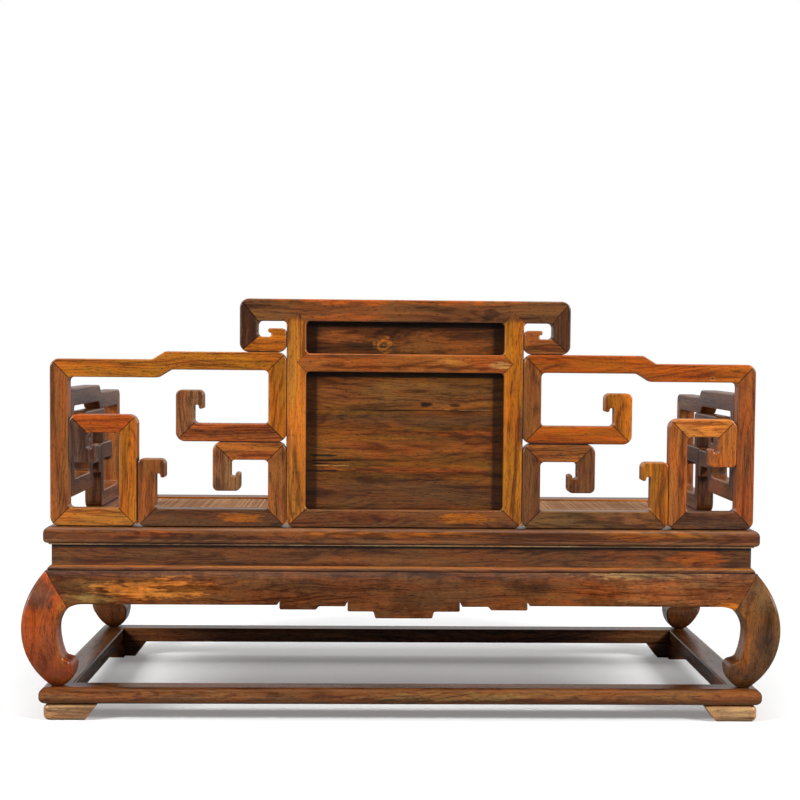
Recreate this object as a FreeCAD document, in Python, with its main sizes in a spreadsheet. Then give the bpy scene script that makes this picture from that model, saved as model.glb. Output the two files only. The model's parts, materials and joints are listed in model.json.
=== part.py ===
# Luohan daybed: a low couch on a base frame, with a scroll railing on three sides.
# Millimetres. +Z is up and the floor is Z = 0. The open side faces -Y, the back railing
# stands at +Y, and the origin is under the middle of the daybed. Right means +X.
import FreeCAD, Part
import Sketcher
import math
import os

Vector = FreeCAD.Vector

# Every driving dimension, as: alias, value in millimetres, what it is.
DIMENSIONS = [
    # seat frame and the whole
    ("seat_length", 1860, "seat frame, left to right"),
    ("seat_depth", 996, "seat frame, front to back"),
    ("seat_height", 505, "floor to top of seat frame"),
    ("seat_rail_height", 43, "height of the rounded seat rail edge"),
    ("seat_rail_width", 95, "seat rail, outside to inside"),
    ("seat_rail_round", 17, "upper rounding of the seat rail edge"),
    ("seat_rail_lower_round", 11, "lower rounding of the seat rail edge"),
    ("seat_bead_height", 4, "small bead under the seat rail edge"),
    ("seat_bead_inset", 12, "bead set in from the seat rail edge"),
    # base frame and feet
    ("foot_height", 44, "foot block height"),
    ("foot_inset", 9, "foot set in from the base rail edge"),
    ("foot_reach", 141, "foot length along each rail, at its top"),
    ("foot_slope", 34, "foot is this much shorter at the floor"),
    ("foot_width", 76, "foot, outside to inside"),
    ("foot_round", 15, "rounding of the foot edges"),
    ("base_rail_height", 43, "base rail height"),
    ("base_rail_width", 80, "base rail, outside to inside"),
    ("base_overhang", 11.5, "base rail past the seat frame"),
    ("base_rail_round", 18, "rounding of the outer base rail edges"),
    ("base_inner_round", 5, "rounding of the inner base rail edges"),
    # legs
    ("leg_bulge", 49, "widest point of the leg past the seat frame"),
    ("leg_bulge_height", 246, "height of the widest point"),
    ("leg_outer_radius", 225, "outer curve of leg and apron"),
    ("leg_thickness", 89, "leg, outside to inside, at its widest point"),
    ("leg_shoulder_radius", 65, "inner curve up to the apron"),
    ("leg_inner_radius", 235, "long inner curve down to the toe"),
    ("toe_bite_drop", 78, "bite above the toe, under the widest point"),
    ("toe_bite_inset", 13, "bite, in from the inner curve's deepest point"),
    ("toe_length", 17, "sloped top of the toe"),
    ("toe_slope", 9, "fall of that top"),
    ("toe_tip_length", 7, "round tip past the sloped top"),
    ("toe_tip_drop", 35, "lower end of the tip, under the bite"),
    ("toe_tip_radius", 25, "rounding of the toe tip"),
    ("toe_under_radius", 50, "curve under the toe"),
    ("leg_sole", 24, "width of the sole on the base rail"),
    ("leg_post_inset", 50, "inner post of the leg, in from the seat edge"),
    ("leg_post_width", 40, "inner post that carries the seat frame"),
    # aprons, moulding and waist
    ("apron_height", 81, "straight apron height"),
    ("apron_thickness", 36, "apron thickness"),
    ("apron_mitre_reach", 66, "slope of the mitre between apron and leg"),
    ("scallop_pendant_end", 73, "end of the middle pendant of the carved edge"),
    ("scallop_pendant_slope", 5, "slope beside the pendant"),
    ("scallop_pendant_drop", 32, "pendant under the straight edge"),
    ("scallop_tier_end", 145, "end of the second tier, from the middle"),
    ("scallop_tier_drop", 15, "second tier under the straight edge"),
    ("scallop_notch", 6, "width of the pointed notches"),
    ("scallop_notch_rise", 9, "depth of the pointed notches"),
    ("scallop_recess_drop", 2.5, "recess under the straight edge"),
    ("scallop_tab_start", 218, "inner end of the outer tab"),
    ("scallop_tab_slope", 8, "slope at that end"),
    ("scallop_tab_end", 320, "outer end of the tab"),
    ("scallop_tab_drop", 11, "tab under the straight edge"),
    ("scallop_round", 5, "rounding of the carved edge"),
    ("moulding_height", 13, "moulding between apron and waist"),
    ("moulding_inset", 9, "moulding set in from the seat edge"),
    ("moulding_width", 38, "moulding, outside to inside"),
    ("moulding_slope", 7, "sloped top of the moulding"),
    ("waist_inset", 18.5, "waist board set in from the seat edge"),
    ("waist_height", 54, "waist board height"),
    ("waist_thickness", 20, "waist board thickness"),
    # seat filling
    ("mat_seat_play", 0.2, "play of the mat and its strips in the ledge"),
    ("mat_rebate", 18, "ledge for the mat in the seat rail"),
    ("mat_rebate_depth", 9, "depth of that ledge"),
    ("mat_thickness", 4, "woven mat"),
    ("mat_edge_press", 1, "mat pressed thinner under its strips"),
    ("seat_board_thickness", 12, "boards under the mat"),
    ("seat_batten_height", 30, "battens under the boards"),
    ("seat_batten_width", 50, "batten width"),
    # railing members
    ("railing_setback", 15, "railing face, in from the seat edge"),
    ("bar_width", 47, "railing bar, square"),
    ("arris", 4.5, "rounded arris of every bar"),
    ("bend_outer", 24, "outer rounding where bars meet"),
    ("bend_inner", 11, "inner rounding where bars meet"),
    ("butt_round", 2, "rounding of a bar's end where it butts on another"),
    ("railing_gap", 0.3, "running gap between railing parts"),
    # back railing
    ("stile_opening", 257, "middle to the stile, half the panel width"),
    ("stile_width", 50, "stile width"),
    ("crest_half", 428, "middle to the end of the crest"),
    ("crest_height", 57, "crest rail height"),
    ("back_height", 592, "seat to top of the crest"),
    ("crest_scroll_bar", 40, "lower bar of the crest scroll"),
    ("crest_head_rise", 22, "head of the crest scroll above its bar"),
    ("crest_head_width", 40, "head width"),
    ("crest_beak", 8, "beak past the head"),
    ("crest_beak_height", 11.5, "beak height"),
    ("middle_rail_top", 452, "seat to top of the middle rail"),
    ("panel_thickness", 14, "panel thickness"),
    ("panel_recess", 24, "panel face, in from the railing's rear face"),
    ("panel_tongue", 8, "panel edge held in its groove"),
    ("groove_play", 0.3, "play of a panel in its groove"),
    # wings of the back railing
    ("wing_height", 454, "seat to top of the wing's high rail"),
    ("wing_step", 21, "drop from the high rail to the low rail"),
    ("wing_step_start", 619, "middle to the top of the step"),
    ("wing_step_run", 34, "length of the slope"),
    ("wing_step_shift", 14, "underside of the step nearer the middle"),
    ("step_round", 16, "rounding of the step"),
    ("upper_scroll_reach", 592, "middle to the end of the upper scroll"),
    ("upper_scroll_height", 222, "seat to underside of the upper scroll"),
    ("upper_scroll_head", 355, "seat to top of its head"),
    ("corner_loop_side", 691, "middle to the side of the corner loop"),
    ("corner_loop_top", 290, "seat to top of the corner loop"),
    ("corner_loop_head", 164, "seat to underside of its head"),
    ("lower_scroll_reach", 497, "middle to the short bar of the lower scroll"),
    ("lower_scroll_head", 94, "seat to underside of the short bar"),
    ("lower_scroll_end", 176, "seat to top of the standing bar"),
    # scroll heads
    ("head_reach", 25, "head past the inner side of its bar"),
    ("head_height", 50, "head, from its end to the beak's tip"),
    ("head_notch", 12, "width of the bite"),
    ("head_notch_depth", 12, "depth of the bite"),
    ("head_slant", 3, "slant of the beak"),
    ("head_round", 14, "rounding of the head"),
    ("beak_round", 5, "rounding of beak and bite"),
    # arms
    ("arm_setback", 101, "front of the arm, behind the front edge of the seat"),
    ("arm_height", 355, "seat to top of the arm's high rail"),
    ("arm_step_run", 26, "length of the arm's slope"),
    ("arm_raised_bar", 70, "seat to underside of the raised bar"),
    ("arm_rear_top", 182, "seat to top of the rear scroll"),
    ("arm_rear_head", 103, "seat to underside of its head"),
    ("arm_middle_top", 186, "seat to top of the front scroll"),
    ("arm_front_gap", 108, "opening between the front scroll's end and the front post"),
    ("arm_middle_head", 127, "seat to underside of its head"),
    ("arm_head_width", 36, "width of the arm's heads"),
    ("arm_hang_shift", 25, "hanging bar, in front of the middle upright"),
    ("arm_hang_bottom", 185, "seat to underside of the hanging scroll"),
    ("arm_hang_tip", 114, "length of the hanging scroll's hook"),
    ("arm_hang_beak", 50, "height of that hook's beak"),
    ("arm_hang_floor", 26, "thickness of that hook"),
    # tenons and keys
    ("tenon_length", 34, "tenon, along the railing"),
    ("tenon_thickness", 16, "tenon thickness"),
    ("tenon_depth", 22, "tenon below the railing"),
    ("wing_tenon_at", 790, "middle to the wing's tenon"),
    ("key_height", 30, "key between arm and back"),
    ("key_depth", 12, "key, from its face to the arm"),
    ("key_neck", 8, "key width at the arm"),
    ("key_width", 16, "key width at its free end"),
    ("key_low", 180, "seat to the lower key"),
    ("key_high", 280, "seat to the upper key"),
    ("key_travel", 30, "lift that frees the keys"),
    ("overrun", 5, "cutters pass the work by this"),
]

SEAT_BOARDS = 5
SEAT_BATTENS = 4
SIDE_SCALLOP_SHARE = 0.62

# Places along an arm, as shares of the 880 from the railing's rear face to the arm's front.
ARM_HANG_SHARE = 267 / 880
ARM_UPRIGHT_SHARE = 335 / 880
ARM_STEP_SHARE = 500 / 880
ARM_MIDDLE_SHARE = 520 / 880
ARM_TENON_SHARES = (640 / 880, 770 / 880)

doc = FreeCAD.newDocument("LuohanDaybed")
sheet = doc.addObject("Spreadsheet::Sheet", "Sheet")
sheet.Label = "dimensions"


class Size:
    """A length that knows both its value and the sheet expression that gives it."""

    def __init__(self, value, text):
        self.value = value
        self.text = text

    def __add__(self, other):
        return Size(self.value + other.value, "(%s + %s)" % (self.text, other.text))

    def __sub__(self, other):
        return Size(self.value - other.value, "(%s - %s)" % (self.text, other.text))

    def __mul__(self, number):
        return Size(self.value * number, "(%s * %r)" % (self.text, number))

    def __truediv__(self, number):
        return Size(self.value / number, "(%s / %r)" % (self.text, number))

    def __neg__(self):
        return Size(-self.value, "(-%s)" % self.text)


def fill_sheet():
    named = {}
    for row, (alias, value, note) in enumerate(DIMENSIONS, start=1):
        sheet.set("A%d" % row, note)
        sheet.set("B%d" % row, "%g" % value)
        sheet.setAlias("B%d" % row, alias)
        named[alias] = Size(float(value), "Sheet.%s" % alias)
    doc.recompute()
    return named


NAMED = fill_sheet()


class Sizes:
    """The sheet's sizes as attributes."""

    def __getattr__(self, alias):
        return NAMED[alias]


S = Sizes()
ZERO = Size(0.0, "0")
finished = []


def bind(thing, prop, size):
    thing.setExpression(prop, size.text)


def finish(thing, label):
    thing.Label = label
    finished.append(thing)
    return thing


def place(thing, x=ZERO, y=ZERO, z=ZERO):
    bind(thing, ".Placement.Base.x", x)
    bind(thing, ".Placement.Base.y", y)
    bind(thing, ".Placement.Base.z", z)


def box(name, low, high):
    """A block between two corners, each given as three sizes."""
    block = doc.addObject("Part::Box", name)
    place(block, *low)
    for prop, start, end in zip(("Length", "Width", "Height"), low, high):
        bind(block, prop, end - start)
    return block


def boolean(kind, name, parts):
    result = doc.addObject(kind, name)
    if kind == "Part::Cut":
        result.Base, result.Tool = parts
    elif kind == "Part::Compound":
        result.Links = parts
    else:
        result.Shapes = parts
    return result


def mirror(source, name, normal):
    copy = doc.addObject("Part::Mirroring", name)
    copy.Source = source
    copy.Normal = normal
    copy.Base = Vector(0, 0, 0)
    return copy


MIRROR_X = Vector(1, 0, 0)
MIRROR_Y = Vector(0, 1, 0)


# Sketches and pads

def arc_between(start, end, radius, side):
    """The shorter arc of this radius from start to end. Side +1 bulges to the left of the run."""
    middle = (start + end) * 0.5
    run = end - start
    half = run.Length / 2
    rise = math.sqrt(max(radius * radius - half * half, 0.0))
    left = Vector(-run.y, run.x, 0).normalize()
    centre = middle - left * (rise * side)
    through = centre + left * (radius * side)
    return Part.Arc(start, through, end)


def draw(sketch, points):
    """A closed outline. Each point is (x, y) or (x, y, radius, side) for an arc to the next one."""
    spots = [Vector(point[0].value, point[1].value, 0) for point in points]
    count = len(points)
    first = sketch.GeometryCount
    for index, point in enumerate(points):
        start = spots[index]
        end = spots[(index + 1) % count]
        if len(point) == 2:
            sketch.addGeometry(Part.LineSegment(start, end), False)
        else:
            sketch.addGeometry(arc_between(start, end, point[2].value, point[3]), False)
    # An arc drawn clockwise is stored the other way round, so its ends swap.
    ends = []
    for index in range(count):
        near = sketch.getPoint(first + index, 1)
        swapped = near.distanceToPoint(spots[index]) > near.distanceToPoint(spots[(index + 1) % count])
        ends.append((2, 1) if swapped else (1, 2))
    for index in range(count):
        after = (index + 1) % count
        sketch.addConstraint(Sketcher.Constraint(
            "Coincident", first + index, ends[index][1], first + after, ends[after][0]))
    for index, point in enumerate(points):
        for kind, size in (("DistanceX", point[0]), ("DistanceY", point[1])):
            number = sketch.addConstraint(Sketcher.Constraint(
                kind, -1, 1, first + index, ends[index][0], size.value))
            sketch.setExpression("Constraints[%d]" % number, size.text)
        if len(point) > 2:
            number = sketch.addConstraint(Sketcher.Constraint("Radius", first + index, point[2].value))
            sketch.setExpression("Constraints[%d]" % number, point[2].text)


def padded(name, plane, outlines, depth):
    """A body padded from outlines on one of its own origin planes."""
    body = doc.addObject("PartDesign::Body", name)
    sketch = body.newObject("Sketcher::SketchObject", name + "_sketch")
    origin = [item for item in body.Origin.OriginFeatures if item.Role == plane][0]
    sketch.AttachmentSupport = (origin, [""])
    sketch.MapMode = "FlatFace"
    for points in outlines:
        draw(sketch, points)
    pad = body.newObject("PartDesign::Pad", name + "_pad")
    pad.Profile = sketch
    bind(pad, "Length", depth)
    doc.recompute()
    return body


def round_edges(body, radius, wanted):
    """Fillet the edges of the body's tip that the test picks."""
    base = body.Tip
    names = ["Edge%d" % number for number, edge in enumerate(base.Shape.Edges, start=1) if wanted(edge)]
    fillet = body.newObject("PartDesign::Fillet", body.Name + "_round")
    fillet.Base = (base, names)
    bind(fillet, "Radius", radius)
    body.Tip = fillet
    doc.recompute()
    if not names or "Invalid" in fillet.State or not fillet.Shape.isValid():
        raise RuntimeError("%s: %d edges can't take a radius of %g" % (fillet.Name, len(names), radius.value))


# For each sketch plane: the axis of the pad, then the two axes of the outline.
PLANE_AXES = {"YZ_Plane": (0, 1, 2), "XZ_Plane": (1, 0, 2), "XY_Plane": (2, 0, 1)}
CLOSE = 0.001


def corner_edges(plane, spots):
    """Test for the edges along the pad that start from these corners of the outline."""
    along, first, second = PLANE_AXES[plane]
    places = [(spot[0].value, spot[1].value) for spot in spots]

    def wanted(edge):
        start = edge.Vertexes[0].Point
        end = edge.Vertexes[-1].Point
        if abs(start[along] - end[along]) < CLOSE:
            return False
        for across, up in places:
            if all(abs(end_point[first] - across) < CLOSE and abs(end_point[second] - up) < CLOSE
                   for end_point in (start, end)):
                return True
        return False

    return wanted


def rim_edges(plane):
    """Test for the edges that lie in the two flat faces of a pad."""
    along = PLANE_AXES[plane][0]

    def wanted(edge):
        bounds = edge.BoundBox
        low = (bounds.XMin, bounds.YMin, bounds.ZMin)[along]
        high = (bounds.XMax, bounds.YMax, bounds.ZMax)[along]
        return high - low < CLOSE

    return wanted


def root(long_side, short_side):
    """The third side of a right triangle, from its longest side and another."""
    value = math.sqrt(long_side.value ** 2 - short_side.value ** 2)
    return Size(value, "sqrt(%s ^ 2 - %s ^ 2)" % (long_side.text, short_side.text))


# Heights from the floor, and the ends of the seat

SEAT_SIDE = S.seat_length / 2
SEAT_END = S.seat_depth / 2
BASE_TOP = S.foot_height + S.base_rail_height
SEAT_UNDER = S.seat_height - S.seat_rail_height - S.seat_bead_height
APRON_TOP = SEAT_UNDER - S.waist_height - S.moulding_height
APRON_BOTTOM = APRON_TOP - S.apron_height


# Mitred frames: base rails, mouldings, waist boards and seat rails

def mitre_block(name, long_side, past, inside, low, high):
    """A block whose slanted ends follow the frame's mitres. Past and inside count from the seat edge."""
    wedge = doc.addObject("Part::Wedge", name)
    reach = SEAT_SIDE if long_side else SEAT_END
    out = SEAT_END if long_side else SEAT_SIDE
    bind(wedge, "Ymin", out - inside)
    bind(wedge, "Ymax", out + past)
    for prop, size in (("Xmin", -(reach - inside)), ("Xmax", reach - inside),
                       ("X2min", -(reach + past)), ("X2max", reach + past),
                       ("Zmin", low), ("Zmax", high), ("Z2min", low), ("Z2max", high)):
        bind(wedge, prop, size)
    if not long_side:
        wedge.Placement = FreeCAD.Placement(Vector(0, 0, 0), FreeCAD.Rotation(Vector(0, 0, 1), -90))
    return wedge


def frame_bar(name, long_side, past, width, profile, rounds):
    """One bar of a mitred frame: its profile padded along it, cut by the mitres at both ends.

    The profile's points are (in from the outer face, height). The frame's outer face is
    past the seat edge by the given size.
    """
    out = (SEAT_END if long_side else SEAT_SIDE) + past
    reach = (SEAT_SIDE if long_side else SEAT_END) + past
    plane = "YZ_Plane" if long_side else "XZ_Plane"
    points = [(out - point[0], point[1]) + tuple(point[2:]) for point in profile]
    body = padded(name + "_bar", plane, [points], reach * 2)
    for radius, spots in rounds:
        round_edges(body, radius, corner_edges(plane, [(out - spot[0], spot[1]) for spot in spots]))
    if long_side:
        place(body, x=-reach)
    else:
        place(body, y=reach)
    heights = sorted((point[1] for point in profile), key=lambda size: size.value)
    block = mitre_block(name + "_mitres", long_side, past, width - past,
                        heights[0] - S.overrun, heights[-1] + S.overrun)
    return boolean("Part::MultiCommon", name, [body, block])


def frame(stem, past, width, profile, rounds):
    """Four mitred bars. The far pair are mirror images of the near pair."""
    back = frame_bar("back_" + stem, True, past, width, profile, rounds)
    right = frame_bar("right_" + stem, False, past, width, profile, rounds)
    finish(back, "back_" + stem)
    finish(right, "right_" + stem)
    finish(mirror(back, "front_%s_copy" % stem, MIRROR_Y), "front_" + stem)
    finish(mirror(right, "left_%s_copy" % stem, MIRROR_X), "left_" + stem)


def base_rails():
    wide = S.base_rail_width
    outer = [(ZERO, S.foot_height), (ZERO, BASE_TOP)]
    inner = [(wide, BASE_TOP), (wide, S.foot_height)]
    frame("base_rail", S.base_overhang, wide, outer + inner,
          [(S.base_rail_round, outer), (S.base_inner_round, inner)])


def lower_mouldings():
    top = APRON_TOP + S.moulding_height
    wide = S.moulding_width
    profile = [(ZERO, APRON_TOP), (ZERO, top - S.moulding_slope), (S.moulding_slope, top),
               (wide, top), (wide, APRON_TOP)]
    frame("moulding", -S.moulding_inset, wide, profile, [])


def waist_boards():
    low = APRON_TOP + S.moulding_height
    wide = S.waist_thickness
    profile = [(ZERO, low), (ZERO, SEAT_UNDER), (wide, SEAT_UNDER), (wide, low)]
    frame("waist_board", -S.waist_inset, wide, profile, [])


def tenon_block(name, along_x, along_y, lengthwise, low, high, play):
    """A tenon, or with play its mortise, standing across a railing at a place in plan."""
    half_long = S.tenon_length / 2 + play
    half_thick = S.tenon_thickness / 2 + play
    half_x = half_long if lengthwise else half_thick
    half_y = half_thick if lengthwise else half_long
    return box(name, (along_x - half_x, along_y - half_y, low), (along_x + half_x, along_y + half_y, high))


BACK_LINE = SEAT_END - S.railing_setback - S.bar_width / 2
ARM_LINE = SEAT_SIDE - S.railing_setback - S.bar_width / 2
RAILING_REAR = SEAT_END - S.railing_setback
STILE_LINE = S.stile_opening + S.stile_width / 2
BACK_TENONS = (-S.wing_tenon_at, -STILE_LINE, STILE_LINE, S.wing_tenon_at)
ARM_FRONT = RAILING_REAR + SEAT_END - S.arm_setback
ARM_MIDDLE = ARM_FRONT * ARM_MIDDLE_SHARE
ARM_TENONS = [RAILING_REAR - ARM_FRONT * share for share in ARM_TENON_SHARES]


def seat_rails():
    """Rounded rails with a ledge for the mat. Mortises take the railings' tenons."""
    wide = S.seat_rail_width
    shelf = S.seat_height - S.mat_rebate_depth
    bead_top = SEAT_UNDER + S.seat_bead_height
    outer = [(ZERO, bead_top), (ZERO, S.seat_height)]
    profile = [(S.seat_bead_inset, SEAT_UNDER), (S.seat_bead_inset, bead_top)] + outer + [
        (wide - S.mat_rebate, S.seat_height), (wide - S.mat_rebate, shelf), (wide, shelf), (wide, SEAT_UNDER)]
    low = S.seat_height - S.tenon_depth - S.overrun
    high = S.seat_height + S.overrun
    tools = {"back": [], "right": []}
    for number, along in enumerate(BACK_TENONS, start=1):
        tools["back"].append(tenon_block("back_mortise_%d" % number, along, BACK_LINE, True,
                                         low, high, S.railing_gap))
    for number, along in enumerate(ARM_TENONS, start=1):
        tools["right"].append(tenon_block("arm_mortise_%d" % number, ARM_LINE, along, False,
                                          low, high, S.railing_gap))
    for side, long_side in (("back", True), ("right", False)):
        plain = frame_bar("%s_seat_rail_plain" % side, long_side, ZERO, wide, profile,
                          [(S.seat_rail_round, outer[1:]), (S.seat_rail_lower_round, outer[:1])])
        if side == "back":
            finish(mirror(plain, "front_seat_rail_copy", MIRROR_Y), "front_seat_rail")
        cutter = boolean("Part::MultiFuse", side + "_mortises", tools[side])
        rail = boolean("Part::Cut", side + "_seat_rail", [plain, cutter])
        finish(rail, side + "_seat_rail")
        if side == "right":
            finish(mirror(rail, "left_seat_rail_copy", MIRROR_X), "left_seat_rail")


# Feet, legs and aprons

def feet():
    """An L-shaped block under each corner of the base frame, with sloping ends."""
    arms = []
    for long_side in (True, False):
        out = (SEAT_SIDE if long_side else SEAT_END) + S.base_overhang - S.foot_inset
        across = (SEAT_END if long_side else SEAT_SIDE) + S.base_overhang - S.foot_inset
        points = [(out, ZERO), (out, S.foot_height), (out - S.foot_reach, S.foot_height),
                  (out - S.foot_reach + S.foot_slope, ZERO)]
        plane = "XZ_Plane" if long_side else "YZ_Plane"
        body = padded("foot_along_%s" % ("x" if long_side else "y"), plane, [points], S.foot_width)
        if long_side:
            place(body, y=across)
        else:
            place(body, x=across - S.foot_width)
        arms.append(body)
    plain = boolean("Part::MultiFuse", "foot_plain", arms)
    plain.Refine = True
    out_x = SEAT_SIDE + S.base_overhang - S.foot_inset
    out_y = SEAT_END + S.base_overhang - S.foot_inset
    outline = padded("foot_outline", "XY_Plane", [[
        (out_x - S.foot_reach, out_y), (out_x, out_y), (out_x, out_y - S.foot_reach),
        (out_x - S.foot_reach, out_y - S.foot_reach)]], S.foot_height)
    round_edges(outline, S.foot_round, corner_edges("XY_Plane", [(out_x, out_y)]))
    round_edges(outline, S.foot_round, outer_rim_edges(out_x, out_y))
    foot = boolean("Part::MultiCommon", "foot", [plain, outline])
    corner_copies(foot, "foot")


def outer_rim_edges(out_x, out_y):
    """Test for the upper and lower edges that follow the block's two outer faces and their corner."""

    def wanted(edge):
        bounds = edge.BoundBox
        middle = edge.CenterOfMass
        on_rim = bounds.ZMax < CLOSE or bounds.ZMin > S.foot_height.value - CLOSE
        outside = middle.x > out_x.value - S.foot_round.value or middle.y > out_y.value - S.foot_round.value
        return on_rim and outside

    return wanted


def corner_copies(first, stem):
    """The piece at the back right, and its mirror images at the other three corners."""
    finish(first, "back_right_" + stem)
    finish(mirror(first, "back_left_%s_copy" % stem, MIRROR_X), "back_left_" + stem)
    front = finish(mirror(first, "front_right_%s_copy" % stem, MIRROR_Y), "front_right_" + stem)
    finish(mirror(front, "front_left_%s_copy" % stem, MIRROR_X), "front_left_" + stem)


def bulge_at(edge, height, inward=ZERO):
    """Where the bulging face stands at a height, for a face that starts from this seat edge."""
    radius = S.leg_outer_radius - inward
    return edge + S.leg_bulge - S.leg_outer_radius + root(radius, height - S.leg_bulge_height)


def shoulder_at(edge, across):
    """Height of the leg's shoulder curve under the apron, at a distance from the middle."""
    centre = edge + S.leg_bulge - S.leg_thickness - S.leg_shoulder_radius
    return APRON_BOTTOM - S.leg_shoulder_radius + root(S.leg_shoulder_radius, across - centre)


def leg_profile(edge):
    """The leg seen from one side: bulging outside, toe turned in, shoulder up to the apron."""
    inner = edge + S.leg_bulge - S.leg_thickness
    shoulder_start = APRON_BOTTOM - S.leg_shoulder_radius
    bite_height = S.leg_bulge_height - S.toe_bite_drop
    bite = inner - S.toe_bite_inset
    sole_outer = bulge_at(edge, BASE_TOP)
    tip = bite - S.toe_length - S.toe_tip_length
    inside = inner - S.leg_shoulder_radius
    return [
        (bulge_at(edge, APRON_TOP), APRON_TOP, S.leg_outer_radius, 1),
        (sole_outer, BASE_TOP),
        (sole_outer - S.leg_sole, BASE_TOP, S.toe_under_radius, 1),
        (tip, bite_height - S.toe_tip_drop, S.toe_tip_radius, 1),
        (bite - S.toe_length, bite_height - S.toe_slope),
        (bite, bite_height, S.leg_inner_radius, -1),
        (inner, shoulder_start, S.leg_shoulder_radius, -1),
        (inside, APRON_BOTTOM),
        (inside, APRON_TOP),
    ]


def apron_outline(edge, share):
    """The apron seen from in front: mitred ends, shoulder curves and the carved lower edge."""
    end = bulge_at(edge, APRON_TOP)
    foot = end - S.apron_mitre_reach
    shoulder = edge + S.leg_bulge - S.leg_thickness - S.leg_shoulder_radius
    straight = APRON_BOTTOM
    carved = [
        (S.scallop_tab_end * share + S.scallop_notch, straight),
        (S.scallop_tab_end * share, straight + S.scallop_notch_rise),
        (S.scallop_tab_end * share, straight - S.scallop_tab_drop),
        (S.scallop_tab_start * share + S.scallop_tab_slope, straight - S.scallop_tab_drop),
        (S.scallop_tab_start * share, straight - S.scallop_recess_drop),
        (S.scallop_tier_end * share + S.scallop_notch, straight - S.scallop_recess_drop),
        (S.scallop_tier_end * share, straight + S.scallop_notch_rise),
        (S.scallop_tier_end * share, straight - S.scallop_tier_drop),
        (S.scallop_pendant_end * share + S.scallop_pendant_slope, straight - S.scallop_tier_drop),
        (S.scallop_pendant_end * share, straight - S.scallop_pendant_drop),
    ]
    rounded = [carved[number] for number in (2, 3, 7, 8, 9)]
    right = [(end, APRON_TOP), (foot, shoulder_at(edge, foot), S.leg_shoulder_radius, -1),
             (shoulder, straight)] + carved
    points = [(end + point[0],) + tuple(point[1:]) for point in right]
    # The left half runs back, so its curve belongs to the point before it.
    left = [(end - point[0], point[1]) for point in reversed(right)]
    curve = len(left) - 3
    left[curve] = left[curve] + (S.leg_shoulder_radius, -1)
    spots = [(end + spot[0], spot[1]) for spot in rounded] + [(end - spot[0], spot[1]) for spot in rounded]
    return points + left, spots, end


def apron(long_side):
    """A bulging board between two legs, mitred to them in front and to its neighbours in plan."""
    name = "back_apron" if long_side else "right_apron"
    edge_out = SEAT_END if long_side else SEAT_SIDE
    edge_along = SEAT_SIDE if long_side else SEAT_END
    low = APRON_BOTTOM - S.scallop_pendant_drop
    thick = S.apron_thickness
    reach = edge_along + S.leg_bulge
    profile = [
        (bulge_at(edge_out, low), low, S.leg_outer_radius, -1),
        (bulge_at(edge_out, APRON_TOP), APRON_TOP),
        (bulge_at(edge_out, APRON_TOP, thick), APRON_TOP, S.leg_outer_radius - thick, 1),
        (bulge_at(edge_out, low, thick), low),
    ]
    board = padded(name + "_board", "YZ_Plane" if long_side else "XZ_Plane", [profile], reach * 2)
    share = 1 if long_side else SIDE_SCALLOP_SHARE
    outline, spots, shift = apron_outline(edge_along, share)
    plane = "XZ_Plane" if long_side else "YZ_Plane"
    face = padded(name + "_outline", plane, [outline], (S.leg_bulge + S.leg_thickness) * 2)
    round_edges(face, S.scallop_round, corner_edges(plane, spots))
    if long_side:
        place(board, x=-reach)
        place(face, x=-shift, y=edge_out + S.leg_bulge + S.leg_thickness / 2)
    else:
        place(board, y=reach)
        place(face, y=-shift, x=edge_out - S.leg_bulge - S.leg_thickness)
    block = mitre_block(name + "_mitres", long_side, S.leg_bulge + S.overrun, S.leg_thickness,
                        low - S.overrun, APRON_TOP + S.overrun)
    return finish(boolean("Part::MultiCommon", name, [board, face, block]), name)


def legs_and_aprons():
    back = apron(True)
    right = apron(False)
    finish(mirror(back, "front_apron_copy", MIRROR_Y), "front_apron")
    finish(mirror(right, "left_apron_copy", MIRROR_X), "left_apron")
    reach = S.leg_thickness * 3
    seen_from_back = padded("leg_seen_from_back", "XZ_Plane", [leg_profile(SEAT_SIDE)], reach)
    place(seen_from_back, y=SEAT_END + S.leg_thickness)
    seen_from_side = padded("leg_seen_from_side", "YZ_Plane", [leg_profile(SEAT_END)], reach)
    place(seen_from_side, x=SEAT_SIDE - S.leg_thickness * 2)
    curved = boolean("Part::MultiCommon", "leg_curved", [seen_from_back, seen_from_side])
    post_out_x = SEAT_SIDE - S.leg_post_inset
    post_out_y = SEAT_END - S.leg_post_inset
    post = box("leg_post", (post_out_x - S.leg_post_width, post_out_y - S.leg_post_width, APRON_BOTTOM),
               (post_out_x, post_out_y, SEAT_UNDER))
    whole = boolean("Part::MultiFuse", "leg_whole", [curved, post])
    shoulders = boolean("Part::MultiFuse", "leg_shoulders", [back, right])
    leg = boolean("Part::Cut", "leg", [whole, shoulders])
    corner_copies(leg, "leg")


# What fills the seat

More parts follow.
